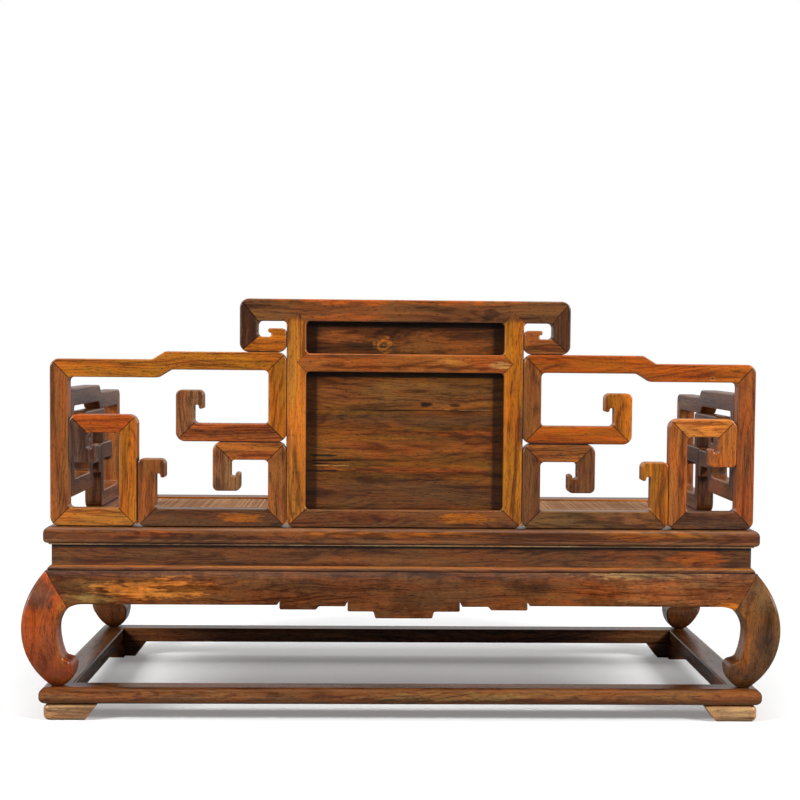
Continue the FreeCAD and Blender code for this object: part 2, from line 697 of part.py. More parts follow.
def seat_filling():
    inside_x = SEAT_SIDE - S.seat_rail_width
    inside_y = SEAT_END - S.seat_rail_width
    ledge_x = inside_x + S.mat_rebate - S.mat_seat_play
    ledge_y = inside_y + S.mat_rebate - S.mat_seat_play
    shelf = S.seat_height - S.mat_rebate_depth
    mat_top = shelf + S.mat_thickness
    pressed = mat_top - S.mat_edge_press
    open_x = ledge_x - S.mat_rebate - S.mat_seat_play
    open_y = ledge_y - S.mat_rebate - S.mat_seat_play
    rim = box("mat_rim", (-ledge_x, -ledge_y, shelf), (ledge_x, ledge_y, pressed))
    middle = box("mat_middle", (-open_x, -open_y, shelf), (open_x, open_y, mat_top))
    finish(boolean("Part::MultiFuse", "mat", [rim, middle]), "seat_mat")
    strips = []
    for name, low, high in (
            ("back", (-ledge_x, ledge_y - S.mat_rebate), (ledge_x, ledge_y)),
            ("front", (-ledge_x, -ledge_y), (ledge_x, -ledge_y + S.mat_rebate)),
            ("right", (ledge_x - S.mat_rebate, -ledge_y + S.mat_rebate), (ledge_x, ledge_y - S.mat_rebate)),
            ("left", (-ledge_x, -ledge_y + S.mat_rebate), (-ledge_x + S.mat_rebate, ledge_y - S.mat_rebate))):
        strips.append(box("mat_strip_" + name, low + (pressed,), high + (S.seat_height,)))
    finish(boolean("Part::Compound", "mat_strips", strips), "mat_edge_strips")
    board_top = shelf
    board_low = board_top - S.seat_board_thickness
    boards = []
    board_width = inside_y * 2 / SEAT_BOARDS
    for number in range(SEAT_BOARDS):
        start = board_width * number - inside_y
        boards.append(box("seat_board_%d" % (number + 1), (-inside_x, start, board_low),
                          (inside_x, start + board_width, board_top)))
    finish(boolean("Part::Compound", "seat_board_group", boards), "seat_boards")
    battens = []
    spacing = inside_x * 2 / (SEAT_BATTENS + 1)
    half = S.seat_batten_width / 2
    for number in range(1, SEAT_BATTENS + 1):
        middle = spacing * number - inside_x
        battens.append(box("seat_batten_%d" % number, (middle - half, -inside_y, board_low - S.seat_batten_height),
                           (middle + half, inside_y, board_low)))
    finish(boolean("Part::Compound", "seat_batten_group", battens), "seat_battens")


# Railings. Their outlines lie in local X and Z, with Z counted from the seat, and are padded by one bar.

def outline_of(corners):
    return [(corner[0], corner[1]) for corner in corners]


def railing_blank(name, corners, openings=()):
    """A whole scroll in one piece. Each corner is (x, z, rounding), and every rim gets an arris."""
    body = padded(name, "XZ_Plane", [outline_of(line) for line in (corners, *openings)], S.bar_width)
    corners = corners + [corner for line in openings for corner in line]
    radii = []
    for corner in corners:
        if corner[2] not in radii:
            radii.append(corner[2])
    for radius in radii:
        spots = [corner for corner in corners if corner[2] is radius]
        round_edges(body, radius, corner_edges("XZ_Plane", spots))
    round_edges(body, S.arris, rim_edges("XZ_Plane"))
    return body


def sawn(blank, mitres):
    """The blank's solids after saw cuts from outer to inner corners.

    The outer corner is rounded away, so the cut starts there. The inner one is filled by its
    rounding, so the cut runs past it.
    """
    saws = []
    for outer, inner in mitres:
        start = Vector(outer[0].value, 0, outer[1].value)
        end = Vector(inner[0].value, 0, inner[1].value)
        along = (end - start).normalize()
        end = end + along * S.bend_inner.value
        near = Vector(0, S.overrun.value, 0)
        far = Vector(0, -S.bar_width.value - S.overrun.value, 0)
        saws.append(Part.Face(Part.makePolygon([start + near, end + near, end + far, start + far, start + near])))
    pieces, origins = blank.Tip.Shape.generalFuse(saws)
    return pieces.Solids


def groups(solids, wanted, blank_name):
    """Sort sawn solids into nodes. Each node lists a place (x, z) inside each of its bars."""
    half = -S.bar_width.value / 2
    found = {}
    used = set()
    for label, places in wanted.items():
        chosen = []
        for across, up in places:
            spot = Vector(across.value, half, up.value)
            for number, solid in enumerate(solids):
                if number not in used and solid.isInside(spot, CLOSE, True):
                    used.add(number)
                    chosen.append(solid)
        if len(chosen) != len(places):
            raise RuntimeError("%s: %s found %d of %d bars" % (blank_name, label, len(chosen), len(places)))
        found[label] = chosen
    if len(used) != len(solids):
        raise RuntimeError("%s: %d of %d solids are in a node" % (blank_name, len(used), len(solids)))
    return found


def piece(label, solids, placement, cutters=()):
    """A node made of sawn bars, less the grooves or slots cut in them."""
    shapes = []
    for solid in solids:
        for cutter in cutters:
            solid = solid.cut(cutter)
        shapes.extend(solid.Solids)
    node = doc.addObject("Part::Feature", label)
    node.Shape = Part.makeCompound(shapes) if len(shapes) > 1 else shapes[0]
    node.Placement = placement
    return finish(node, label)


def local_block(low, high):
    """A plain cutter between two corners, each given as three sizes."""
    spans = [end.value - start.value for start, end in zip(low, high)]
    return Part.makeBox(*spans, Vector(*[start.value for start in low]))


def head(inner, outer, end, up, toward):
    """A scroll head at the end of a bar, from the bar's inner side round to its outer side.

    Up is +1 for a bar that rises to its end, toward is the way that the head turns.
    """
    reach = S.head_reach * toward
    notch = S.head_notch * toward
    bite = end - (S.head_height - S.head_notch_depth) * up
    tip = end - S.head_height * up
    slanted = end - (S.head_height - S.head_slant) * up
    return [
        (inner, bite, S.beak_round),
        (inner + notch, bite, S.beak_round),
        (inner + notch, tip, S.beak_round),
        (inner + reach, slanted, S.beak_round),
        (inner + reach, end, S.head_round),
        (outer, end, S.head_round),
    ]


BAR = S.bar_width
HIGH = S.wing_height
LOW = S.wing_height - S.wing_step
STILE_OUT = S.stile_opening + S.stile_width
POST_OUT = SEAT_SIDE - S.railing_setback
BACK_PLACE = FreeCAD.Placement(Vector(0, RAILING_REAR.value, S.seat_height.value), FreeCAD.Rotation())


def wing_line():
    """Corner post, stepped rail, upper scroll and corner loop of the right wing, as one line."""
    reach = S.upper_scroll_reach
    under = S.upper_scroll_height
    side = S.corner_loop_side
    top = S.corner_loop_top
    loop_out = POST_OUT - BAR - S.railing_gap
    step = S.wing_step_start
    shift = S.wing_step_shift
    outer = S.bend_outer
    inner = S.bend_inner
    corners = [(reach - BAR, under + BAR, inner)]
    corners += head(reach - BAR, reach, S.upper_scroll_head, 1, -1)
    corners += [
        (reach, under, outer), (STILE_OUT, under, outer), (STILE_OUT, HIGH, outer),
        (step, HIGH, S.step_round), (step + S.wing_step_run, LOW, S.step_round),
        (POST_OUT, LOW, outer), (POST_OUT, ZERO, outer), (side, ZERO, outer),
        (side, top, outer), (loop_out, top, outer),
    ]
    corners += reversed(head(loop_out - BAR, loop_out, S.corner_loop_head, -1, -1))
    corners += [
        (loop_out - BAR, top - BAR, inner), (side + BAR, top - BAR, inner), (side + BAR, BAR, inner),
        (POST_OUT - BAR, BAR, inner), (POST_OUT - BAR, LOW - BAR, inner),
        (step + S.wing_step_run - shift, LOW - BAR, S.step_round), (step - shift, HIGH - BAR, S.step_round),
        (STILE_OUT + BAR, HIGH - BAR, inner), (STILE_OUT + BAR, under + BAR, inner),
    ]
    blank = railing_blank("wing_line", corners)
    mitres = [
        ((reach, under), (reach - BAR, under + BAR)),
        ((STILE_OUT, under), (STILE_OUT + BAR, under + BAR)),
        ((STILE_OUT, HIGH), (STILE_OUT + BAR, HIGH - BAR)),
        ((POST_OUT, LOW), (POST_OUT - BAR, LOW - BAR)),
        ((POST_OUT, ZERO), (POST_OUT - BAR, BAR)),
        ((side, ZERO), (side + BAR, BAR)),
        ((side, top), (side + BAR, top - BAR)),
        ((loop_out, top), (loop_out - BAR, top - BAR)),
    ]
    half = BAR / 2
    wanted = {
        "wing_top_rail": [(STILE_OUT + BAR * 2, HIGH - half), (POST_OUT - half, LOW / 2)],
        "wing_upper_scroll": [(STILE_OUT + half, HIGH - BAR * 2), (STILE_OUT + BAR * 2, under + half),
                              (reach - half, under + BAR + half)],
        "wing_corner_loop": [(side + BAR + half, half), (side + half, top / 2),
                             (side + BAR + half, top - half), (loop_out - half, S.corner_loop_head + half)],
    }
    found = groups(sawn(blank, mitres), wanted, "wing line")
    slots = key_slots()
    for stem, solids in found.items():
        right = piece("right_" + stem, solids, BACK_PLACE, slots if stem == "wing_top_rail" else ())
        finish(mirror(right, "left_%s_copy" % stem, MIRROR_X), "left_" + stem)


def lower_scroll():
    """The scroll that stands on the seat rail between stile and corner loop."""
    top = S.upper_scroll_height
    reach = S.lower_scroll_reach
    side = S.corner_loop_side
    outer = S.bend_outer
    inner = S.bend_inner
    corners = [(STILE_OUT, top, outer), (reach, top, outer)]
    corners += reversed(head(reach - BAR, reach, S.lower_scroll_head, -1, -1))
    corners += [(reach - BAR, top - BAR, inner), (STILE_OUT + BAR, top - BAR, inner),
                (STILE_OUT + BAR, BAR, inner), (side - BAR, BAR, inner)]
    corners += head(side - BAR, side, S.lower_scroll_end, 1, -1)
    corners += [(side, ZERO, outer), (STILE_OUT, ZERO, outer)]
    blank = railing_blank("lower_scroll", corners)
    mitres = [
        ((STILE_OUT, top), (STILE_OUT + BAR, top - BAR)),
        ((reach, top), (reach - BAR, top - BAR)),
        ((STILE_OUT, ZERO), (STILE_OUT + BAR, BAR)),
        ((side, ZERO), (side - BAR, BAR)),
    ]
    half = BAR / 2
    wanted = {"wing_lower_scroll": [
        (STILE_OUT + BAR + half, top - half), (reach - half, top - BAR - half),
        (STILE_OUT + half, top / 2), (STILE_OUT + BAR * 2, half), (side - half, BAR + half)]}
    for stem, solids in groups(sawn(blank, mitres), wanted, "lower scroll").items():
        right = piece("right_" + stem, solids, BACK_PLACE)
        finish(mirror(right, "left_%s_copy" % stem, MIRROR_X), "left_" + stem)


def panel_grooves():
    """The two panels as (name, low, high) in the railing's own places, without play."""
    tongue = S.panel_tongue
    far = -S.panel_recess - S.panel_thickness
    panels = []
    for name, low, high in (
            ("back_lower_panel", BAR, S.middle_rail_top - BAR),
            ("back_upper_panel", S.middle_rail_top, S.back_height - S.crest_height)):
        panels.append((name, (-S.stile_opening - tongue, far, low - tongue),
                       (S.stile_opening + tongue, -S.panel_recess, high + tongue)))
    return panels


def grown(low, high, play):
    return local_block([size - play for size in low], [size + play for size in high])


def back_centre():
    """Crest with its scrolls, stiles and rails, sawn from one blank, and the panels in their grooves."""
    shift = S.crest_half
    top = S.back_height
    bottom = HIGH
    under = top - S.crest_height
    side = S.stile_opening
    rail_top = S.middle_rail_top
    rail_low = rail_top - BAR
    bar_top = bottom + S.crest_scroll_bar
    head_top = bar_top + S.crest_head_rise
    start = STILE_OUT + S.railing_gap
    neck = start + S.crest_head_width
    beak = neck + S.crest_beak
    beak_low = head_top - S.crest_beak_height
    outer = S.bend_outer
    inner = S.bend_inner
    small = S.beak_round
    half_line = [
        (S.crest_half, top, outer), (S.crest_half, bottom, outer), (start, bottom, outer),
        (start, head_top, S.head_round), (beak, head_top, small), (beak, beak_low, small),
        (neck, beak_low, S.butt_round), (neck, bar_top, small), (S.crest_half - BAR, bar_top, inner),
        (S.crest_half - BAR, under, inner), (STILE_OUT, under, inner), (STILE_OUT, ZERO, outer),
    ]
    corners = [(shift + x, z, radius) for x, z, radius in half_line]
    corners += [(shift - x, z, radius) for x, z, radius in reversed(half_line)]
    openings = [
        [(shift - side, low, inner), (shift + side, low, inner), (shift + side, high, inner),
         (shift - side, high, inner)]
        for low, high in ((BAR, rail_low), (rail_top, under))]
    blank = railing_blank("back_line", corners, openings)
    half = BAR / 2
    mitres = []
    for sign in (1, -1):
        crest_point = (shift + STILE_LINE * sign, under + S.stile_width / 2)
        rail_point = (shift + (side + half) * sign, rail_top - half)
        mitres += [
            ((shift + S.crest_half * sign, top), (shift + (S.crest_half - BAR) * sign, under)),
            ((shift + S.crest_half * sign, bottom), (shift + (S.crest_half - BAR) * sign, bar_top)),
            ((shift + STILE_OUT * sign, ZERO), (shift + side * sign, BAR)),
            (crest_point, (shift + side * sign, under)),
            (crest_point, (shift + STILE_OUT * sign, under)),
            (rail_point, (shift + side * sign, rail_top)),
            (rail_point, (shift + side * sign, rail_low)),
        ]
    wanted = {
        "crest_rail": [(shift, top - half)],
        "back_bottom_rail": [(shift, half)],
        "back_middle_rail": [(shift, rail_top - half)],
    }
    for end_name, sign in (("right", 1), ("left", -1)):
        wanted["crest_scroll_" + end_name] = [(shift + (S.crest_half - half) * sign, bar_top + half),
                                              (shift + (neck + BAR / 4) * sign, bottom + half / 2)]
        wanted["back_stile_" + end_name] = [(shift + (side + half) * sign, top / 3)]
    shifted = FreeCAD.Placement(BACK_PLACE.Base - Vector(shift.value, 0, 0), FreeCAD.Rotation())
    grooves = []
    for name, low, high in panel_grooves():
        groove = grown(low, high, S.groove_play)
        groove.translate(Vector(shift.value, 0, 0))
        grooves.append(groove)
    for label, solids in groups(sawn(blank, mitres), wanted, "back line").items():
        piece(label, solids, shifted, () if "scroll" in label else grooves)
    for name, low, high in panel_grooves():
        panel = box(name, low, high)
        place(panel, low[0], low[1] + RAILING_REAR, low[2] + S.seat_height)
        finish(panel, name)


# Arms. Local X runs forward from the back railing's rear face.

ARM_START = BAR + S.railing_gap
ARM_PLACE = FreeCAD.Placement(
    Vector(POST_OUT.value, RAILING_REAR.value, S.seat_height.value),
    FreeCAD.Rotation(Vector(0, 0, 1), -90))


def arm_line():
    """The right arm's near post, stepped rail, front loop and rear scroll, as one line."""
    high = S.arm_height
    low = S.arm_height - S.wing_step
    step = ARM_FRONT * ARM_STEP_SHARE
    shift = S.wing_step_shift
    raised = S.arm_raised_bar
    upright = ARM_FRONT * ARM_UPRIGHT_SHARE
    middle = ARM_MIDDLE
    reach = ARM_FRONT - BAR - S.arm_front_gap
    rear_end = middle - S.railing_gap
    wide = S.arm_head_width
    outer = S.bend_outer
    inner = S.bend_inner
    small = S.beak_round
    corners = [
        (ARM_START, raised, outer), (ARM_START, high, outer),
        (step, high, S.step_round), (step + S.arm_step_run, low, S.step_round),
        (ARM_FRONT, low, outer), (ARM_FRONT, ZERO, outer), (middle, ZERO, outer),
        (middle, S.arm_middle_top, S.head_round), (reach, S.arm_middle_top, S.head_round),
        (reach, S.arm_middle_head, small), (reach - wide, S.arm_middle_head, small),
        (reach - wide, S.arm_middle_top - BAR, small),
        (middle + BAR, S.arm_middle_top - BAR, inner), (middle + BAR, BAR, inner),
        (ARM_FRONT - BAR, BAR, inner), (ARM_FRONT - BAR, low - BAR, inner),
        (step + S.arm_step_run - shift, low - BAR, S.step_round), (step - shift, high - BAR, S.step_round),
        (ARM_START + BAR, high - BAR, inner), (ARM_START + BAR, raised + BAR, inner),
        (upright, raised + BAR, inner), (upright, S.arm_rear_top, S.head_round),
        (rear_end, S.arm_rear_top, S.head_round), (rear_end, S.arm_rear_head, small),
        (rear_end - wide, S.arm_rear_head, small), (rear_end - wide, S.arm_rear_top - BAR, small),
        (upright + BAR, S.arm_rear_top - BAR, inner), (upright + BAR, raised, outer),
    ]
    blank = railing_blank("arm_line", corners)
    mitres = [
        ((ARM_START, raised), (ARM_START + BAR, raised + BAR)),
        ((ARM_START, high), (ARM_START + BAR, high - BAR)),
        ((ARM_FRONT, low), (ARM_FRONT - BAR, low - BAR)),
        ((ARM_FRONT, ZERO), (ARM_FRONT - BAR, BAR)),
        ((middle, ZERO), (middle + BAR, BAR)),
        ((middle, S.arm_middle_top), (middle + BAR, S.arm_middle_top - BAR)),
        ((upright + BAR, raised), (upright, raised + BAR)),
        ((upright, S.arm_rear_top), (upright + BAR, S.arm_rear_top - BAR)),
    ]
    half = BAR / 2
    wanted = {
        "arm_top_rail": [(ARM_START + half, high / 2), (ARM_START + BAR * 2, high - half),
                         (ARM_FRONT - half, low / 2)],
        "arm_rear_scroll": [(ARM_START + BAR * 2, raised + half),
                            (upright + half, (raised + S.arm_rear_top) / 2),
                            (upright + BAR * 2, S.arm_rear_top - half)],
        "arm_front_scroll": [(middle + BAR * 2, half), (middle + half, S.arm_middle_top / 2),
                             (middle + BAR * 2, S.arm_middle_top - half)],
    }
    for stem, solids in groups(sawn(blank, mitres), wanted, "arm line").items():
        right = piece("right_" + stem, solids, ARM_PLACE)
        finish(mirror(right, "left_%s_copy" % stem, MIRROR_X), "left_" + stem)


def arm_hanging_scroll():
    """The hooked scroll under the arm's low rail, standing on the front scroll."""
    top = S.arm_height - S.wing_step - BAR
    start = ARM_FRONT * ARM_HANG_SHARE
    end = ARM_MIDDLE + S.arm_hang_shift + BAR
    low = S.arm_hang_bottom
    tip = start + S.arm_hang_tip
    neck = tip - S.arm_head_width
    small = S.beak_round
    corners = [
        (start, low, S.head_round), (start, top, S.bend_outer), (end, top, S.head_round),
        (end, S.arm_middle_top, small), (end - BAR, S.arm_middle_top, small),
        (end - BAR, top - BAR, S.bend_inner), (start + BAR, top - BAR, S.bend_inner),
        (start + BAR, low + S.arm_hang_floor, small), (neck, low + S.arm_hang_floor, small),
        (neck, low + S.arm_hang_beak, small), (tip, low + S.arm_hang_beak, small), (tip, low, S.head_round),
    ]
    blank = railing_blank("arm_hanging", corners)
    mitres = [((start, top), (start + BAR, top - BAR)), ((end, top), (end - BAR, top - BAR))]
    half = BAR / 2
    wanted = {"arm_hanging_scroll": [(start + BAR * 2, top - half), (start + half, low + half),
                                     (end - half, top - BAR - half)]}
    for stem, solids in groups(sawn(blank, mitres), wanted, "hanging scroll").items():
        right = piece("right_" + stem, solids, ARM_PLACE)
        finish(mirror(right, "left_%s_copy" % stem, MIRROR_X), "left_" + stem)


# Tenons under the railings, and the keys that hang each arm on the back railing

def key_solid(height, top, play):
    """A dovetail key in the back railing's own places, or with play the slot that takes it.

    It is wider at its free end, so that it can't pull forward out of its slot.
    """
    near = S.key_neck / 2 + play
    far = S.key_width / 2 + play
    face = -BAR.value - play.value
    depth = -BAR.value + S.key_depth.value + play.value
    middle = ARM_LINE.value
    points = [Vector(middle - near.value, face, height.value), Vector(middle + near.value, face, height.value),
              Vector(middle + far.value, depth, height.value), Vector(middle - far.value, depth, height.value)]
    points.append(points[0])
    return Part.Face(Part.makePolygon(points)).extrude(Vector(0, 0, (top - height).value))


def key_slots():
    """Each slot holds the key at its foot and opens into a wide pocket that the key lifts into."""
    play = S.railing_gap
    slots = []
    for height in (S.key_low, S.key_high):
        low = height - S.key_height / 2 - play
        top = height + S.key_height / 2 + S.key_travel + play
        slots.append(key_solid(low, top, play))
        wide = S.key_width / 2 + play
        pocket_low = height + S.key_height / 2 + play
        slots.append(local_block((ARM_LINE - wide, -BAR - play, pocket_low),
                                 (ARM_LINE + wide, -BAR + S.key_depth + play, top)))
    return slots


def tenons_and_keys():
    back = []
    for number, along in enumerate(BACK_TENONS, start=1):
        back.append(tenon_block("back_tenon_%d" % number, along, BACK_LINE, True,
                                S.seat_height - S.tenon_depth, S.seat_height, ZERO))
    finish(boolean("Part::Compound", "back_tenon_group", back), "back_tenons")
    tenons = []
    for number, along in enumerate(ARM_TENONS, start=1):
        tenons.append(tenon_block("arm_tenon_%d" % number, ARM_LINE, along, False,
                                  S.seat_height - S.tenon_depth, S.seat_height, ZERO))
    doc.recompute()
    keys = []
    for height in (S.key_low, S.key_high):
        half = S.key_height / 2
        key = key_solid(height - half, height + half, ZERO)
        stub = local_block((ARM_LINE - S.key_neck / 2, -BAR - S.railing_gap, height - half),
                           (ARM_LINE + S.key_neck / 2, -BAR, height + half))
        keys.append(key.fuse(stub).removeSplitter())
    node = doc.addObject("Part::Feature", "arm_keys")
    shapes = []
    for key in keys:
        key.Placement = BACK_PLACE
        shapes.append(key)
    for tenon in tenons:
        shapes.append(tenon.Shape)
    node.Shape = Part.makeCompound(shapes)
    right = finish(node, "right_arm_tenons_and_keys")
    finish(mirror(right, "left_arm_keys_copy", MIRROR_X), "left_arm_tenons_and_keys")


def check_and_write():
    doc.recompute()
    for thing in doc.Objects:
        if "Invalid" in thing.State or "Error" in thing.State:
            raise RuntimeError("%s is %s" % (thing.Label, thing.State))
    os.makedirs("parts", exist_ok=True)
    for thing in finished:
        shape = thing.Shape
        if shape.isNull() or not shape.isValid() or not shape.Solids:
            raise RuntimeError("%s has no valid solid" % thing.Label)
    for thing in finished:
        thing.Shape.exportStep("parts/%s.step" % thing.Label)
        print("%-28s %3d solids %12.0f mm3" % (thing.Label, len(thing.Shape.Solids), thing.Shape.Volume))
    print("%d nodes" % len(finished))


base_rails()
lower_mouldings()
waist_boards()
seat_rails()
feet()
legs_and_aprons()
seat_filling()
back_centre()
wing_line()
lower_scroll()
arm_line()
arm_hanging_scroll()
tenons_and_keys()
check_and_write()
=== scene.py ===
# Looks of the luohan daybed: waxed hardwood bars, boards and legs, and a woven cane mat.
# Metres. +Z is up, the back railing stands at +Y, and right means +X.
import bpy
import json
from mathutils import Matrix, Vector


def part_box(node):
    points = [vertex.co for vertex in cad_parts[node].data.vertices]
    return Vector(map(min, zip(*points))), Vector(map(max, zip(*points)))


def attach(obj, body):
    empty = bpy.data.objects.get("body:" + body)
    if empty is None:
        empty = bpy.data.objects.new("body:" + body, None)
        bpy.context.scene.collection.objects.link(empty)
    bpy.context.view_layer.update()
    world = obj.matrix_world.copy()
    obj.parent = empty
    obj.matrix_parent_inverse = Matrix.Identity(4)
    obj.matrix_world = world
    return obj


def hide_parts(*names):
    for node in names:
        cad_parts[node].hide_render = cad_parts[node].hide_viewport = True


bl_info = {
    "name": "Luohan Daybed",
    "version": (1, 0, 0),
    "blender": (4, 5, 0),
    "location": "View3D > Sidebar > Daybed",
    "description": "Finishes the wood, weaves the mat and sets the stage of a luohan daybed",
    "category": "Object",
}

import json
import math
import random

import bmesh
import bpy
from mathutils import Matrix, Vector
from mathutils.bvhtree import BVHTree

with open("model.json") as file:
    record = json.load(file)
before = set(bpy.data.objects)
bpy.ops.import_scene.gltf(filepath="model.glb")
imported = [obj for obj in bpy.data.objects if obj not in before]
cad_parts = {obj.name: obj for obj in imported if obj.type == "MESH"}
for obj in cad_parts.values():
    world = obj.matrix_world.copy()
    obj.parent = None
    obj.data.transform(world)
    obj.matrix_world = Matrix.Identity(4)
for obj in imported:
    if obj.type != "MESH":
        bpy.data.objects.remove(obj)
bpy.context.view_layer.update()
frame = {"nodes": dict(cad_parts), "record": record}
MM = 0.001
SEED = 7


def linear(code):
    """An sRGB hex colour as linear red, green and blue."""
    values = [int(code[start:start + 2], 16) / 255 for start in (1, 3, 5)]
    return [value / 12.92 if value <= 0.04045 else ((value + 0.055) / 1.055) ** 2.4 for value in values]


def add(tree, kind, settings=None, inputs=None):
    """One node with its settings and its inputs: each a value, a socket, or a node for its first output."""
    made = tree.nodes.new(kind)
    for key, value in (settings or {}).items():
        setattr(made, key, value)
    for key, value in (inputs or {}).items():
        if isinstance(value, bpy.types.Node):
            value = value.outputs[0]
        if isinstance(value, bpy.types.NodeSocket):
            tree.links.new(value, made.inputs[key])
        else:
            made.inputs[key].default_value = value
    return made


# Stains: the main tone of one bar or board, as the wax and the years have left it; some also colour painted
# highlights and shade.
STAINS = {
    "honey": "#B56F2C",
    "gold": "#A5621F",
    "pale": "#AC8058",
    "mahogany": "#9C4820",
    "amber": "#9A5812",
    "flame": "#A04C0E",
    "russet": "#8E4C1C",
    "cedar": "#90460C",
    "copper": "#86441A",
    "chestnut": "#80491F",
    "tan": "#7E5130",
    "brown": "#663C1F",
    "olive": "#6A4726",
    "umber": "#57351F",
    "walnut": "#663C12",
    "burnt": "#4E2C12",
    "plum": "#543A2D",
    "sand": "#B08A52",
    # Colour of the painted highlight on the bead under the seat rails.
    "rubbed_and_highlit": "#D2A47C",
    "sage": "#7E6A3C",
    "pitch": "#1C120D",
}

# Each node's stains, for its bars from the highest to the lowest, and from left to right where level.
BAR_STAINS = {
    "crest_rail": ["brown"],
    "crest_scroll_right": ["umber", "amber"],
    "crest_scroll_left": ["umber", "chestnut"],
    "back_stile_right": ["gold"],
    "back_stile_left": ["amber"],
    "back_middle_rail": ["russet"],
    "back_bottom_rail": ["brown"],
    "back_lower_panel": ["walnut"],
    "back_upper_panel": ["burnt"],
    "right_wing_top_rail": ["amber", "chestnut"],
    "right_wing_upper_scroll": ["amber", "tan", "copper"],
    "right_wing_corner_loop": ["flame", "plum", "amber", "gold"],
    "right_wing_lower_scroll": ["russet", "tan", "chestnut", "chestnut", "umber"],
    "left_wing_top_rail": ["cedar", "copper"],
    "left_wing_upper_scroll": ["chestnut", "amber", "cedar"],
    "left_wing_corner_loop": ["honey", "russet", "russet", "umber"],
    "left_wing_lower_scroll": ["chestnut", "brown", "brown", "amber", "olive"],
    "front_right_foot": ["brown"],
    "front_left_foot": ["brown"],
}
FAMILY_STAINS = {
    "arm": ["brown", "umber", "chestnut", "brown"],
    "seat_rail": ["brown"],
    "waist_board": ["brown"],
    "moulding": ["brown"],
    "apron": ["brown"],
    "base_rail": ["brown"],
    "foot": ["pale"],
    "back_left_leg": ["olive"],
    "front": ["brown"],
    "leg": ["mahogany"],
    "strips": ["amber"],
    "tenons": ["brown"],
    "boards": ["gold"],
    "battens": ["gold"],
}

# A reach, in millimetres, that covers the whole daybed.
EVERYWHERE = 9000
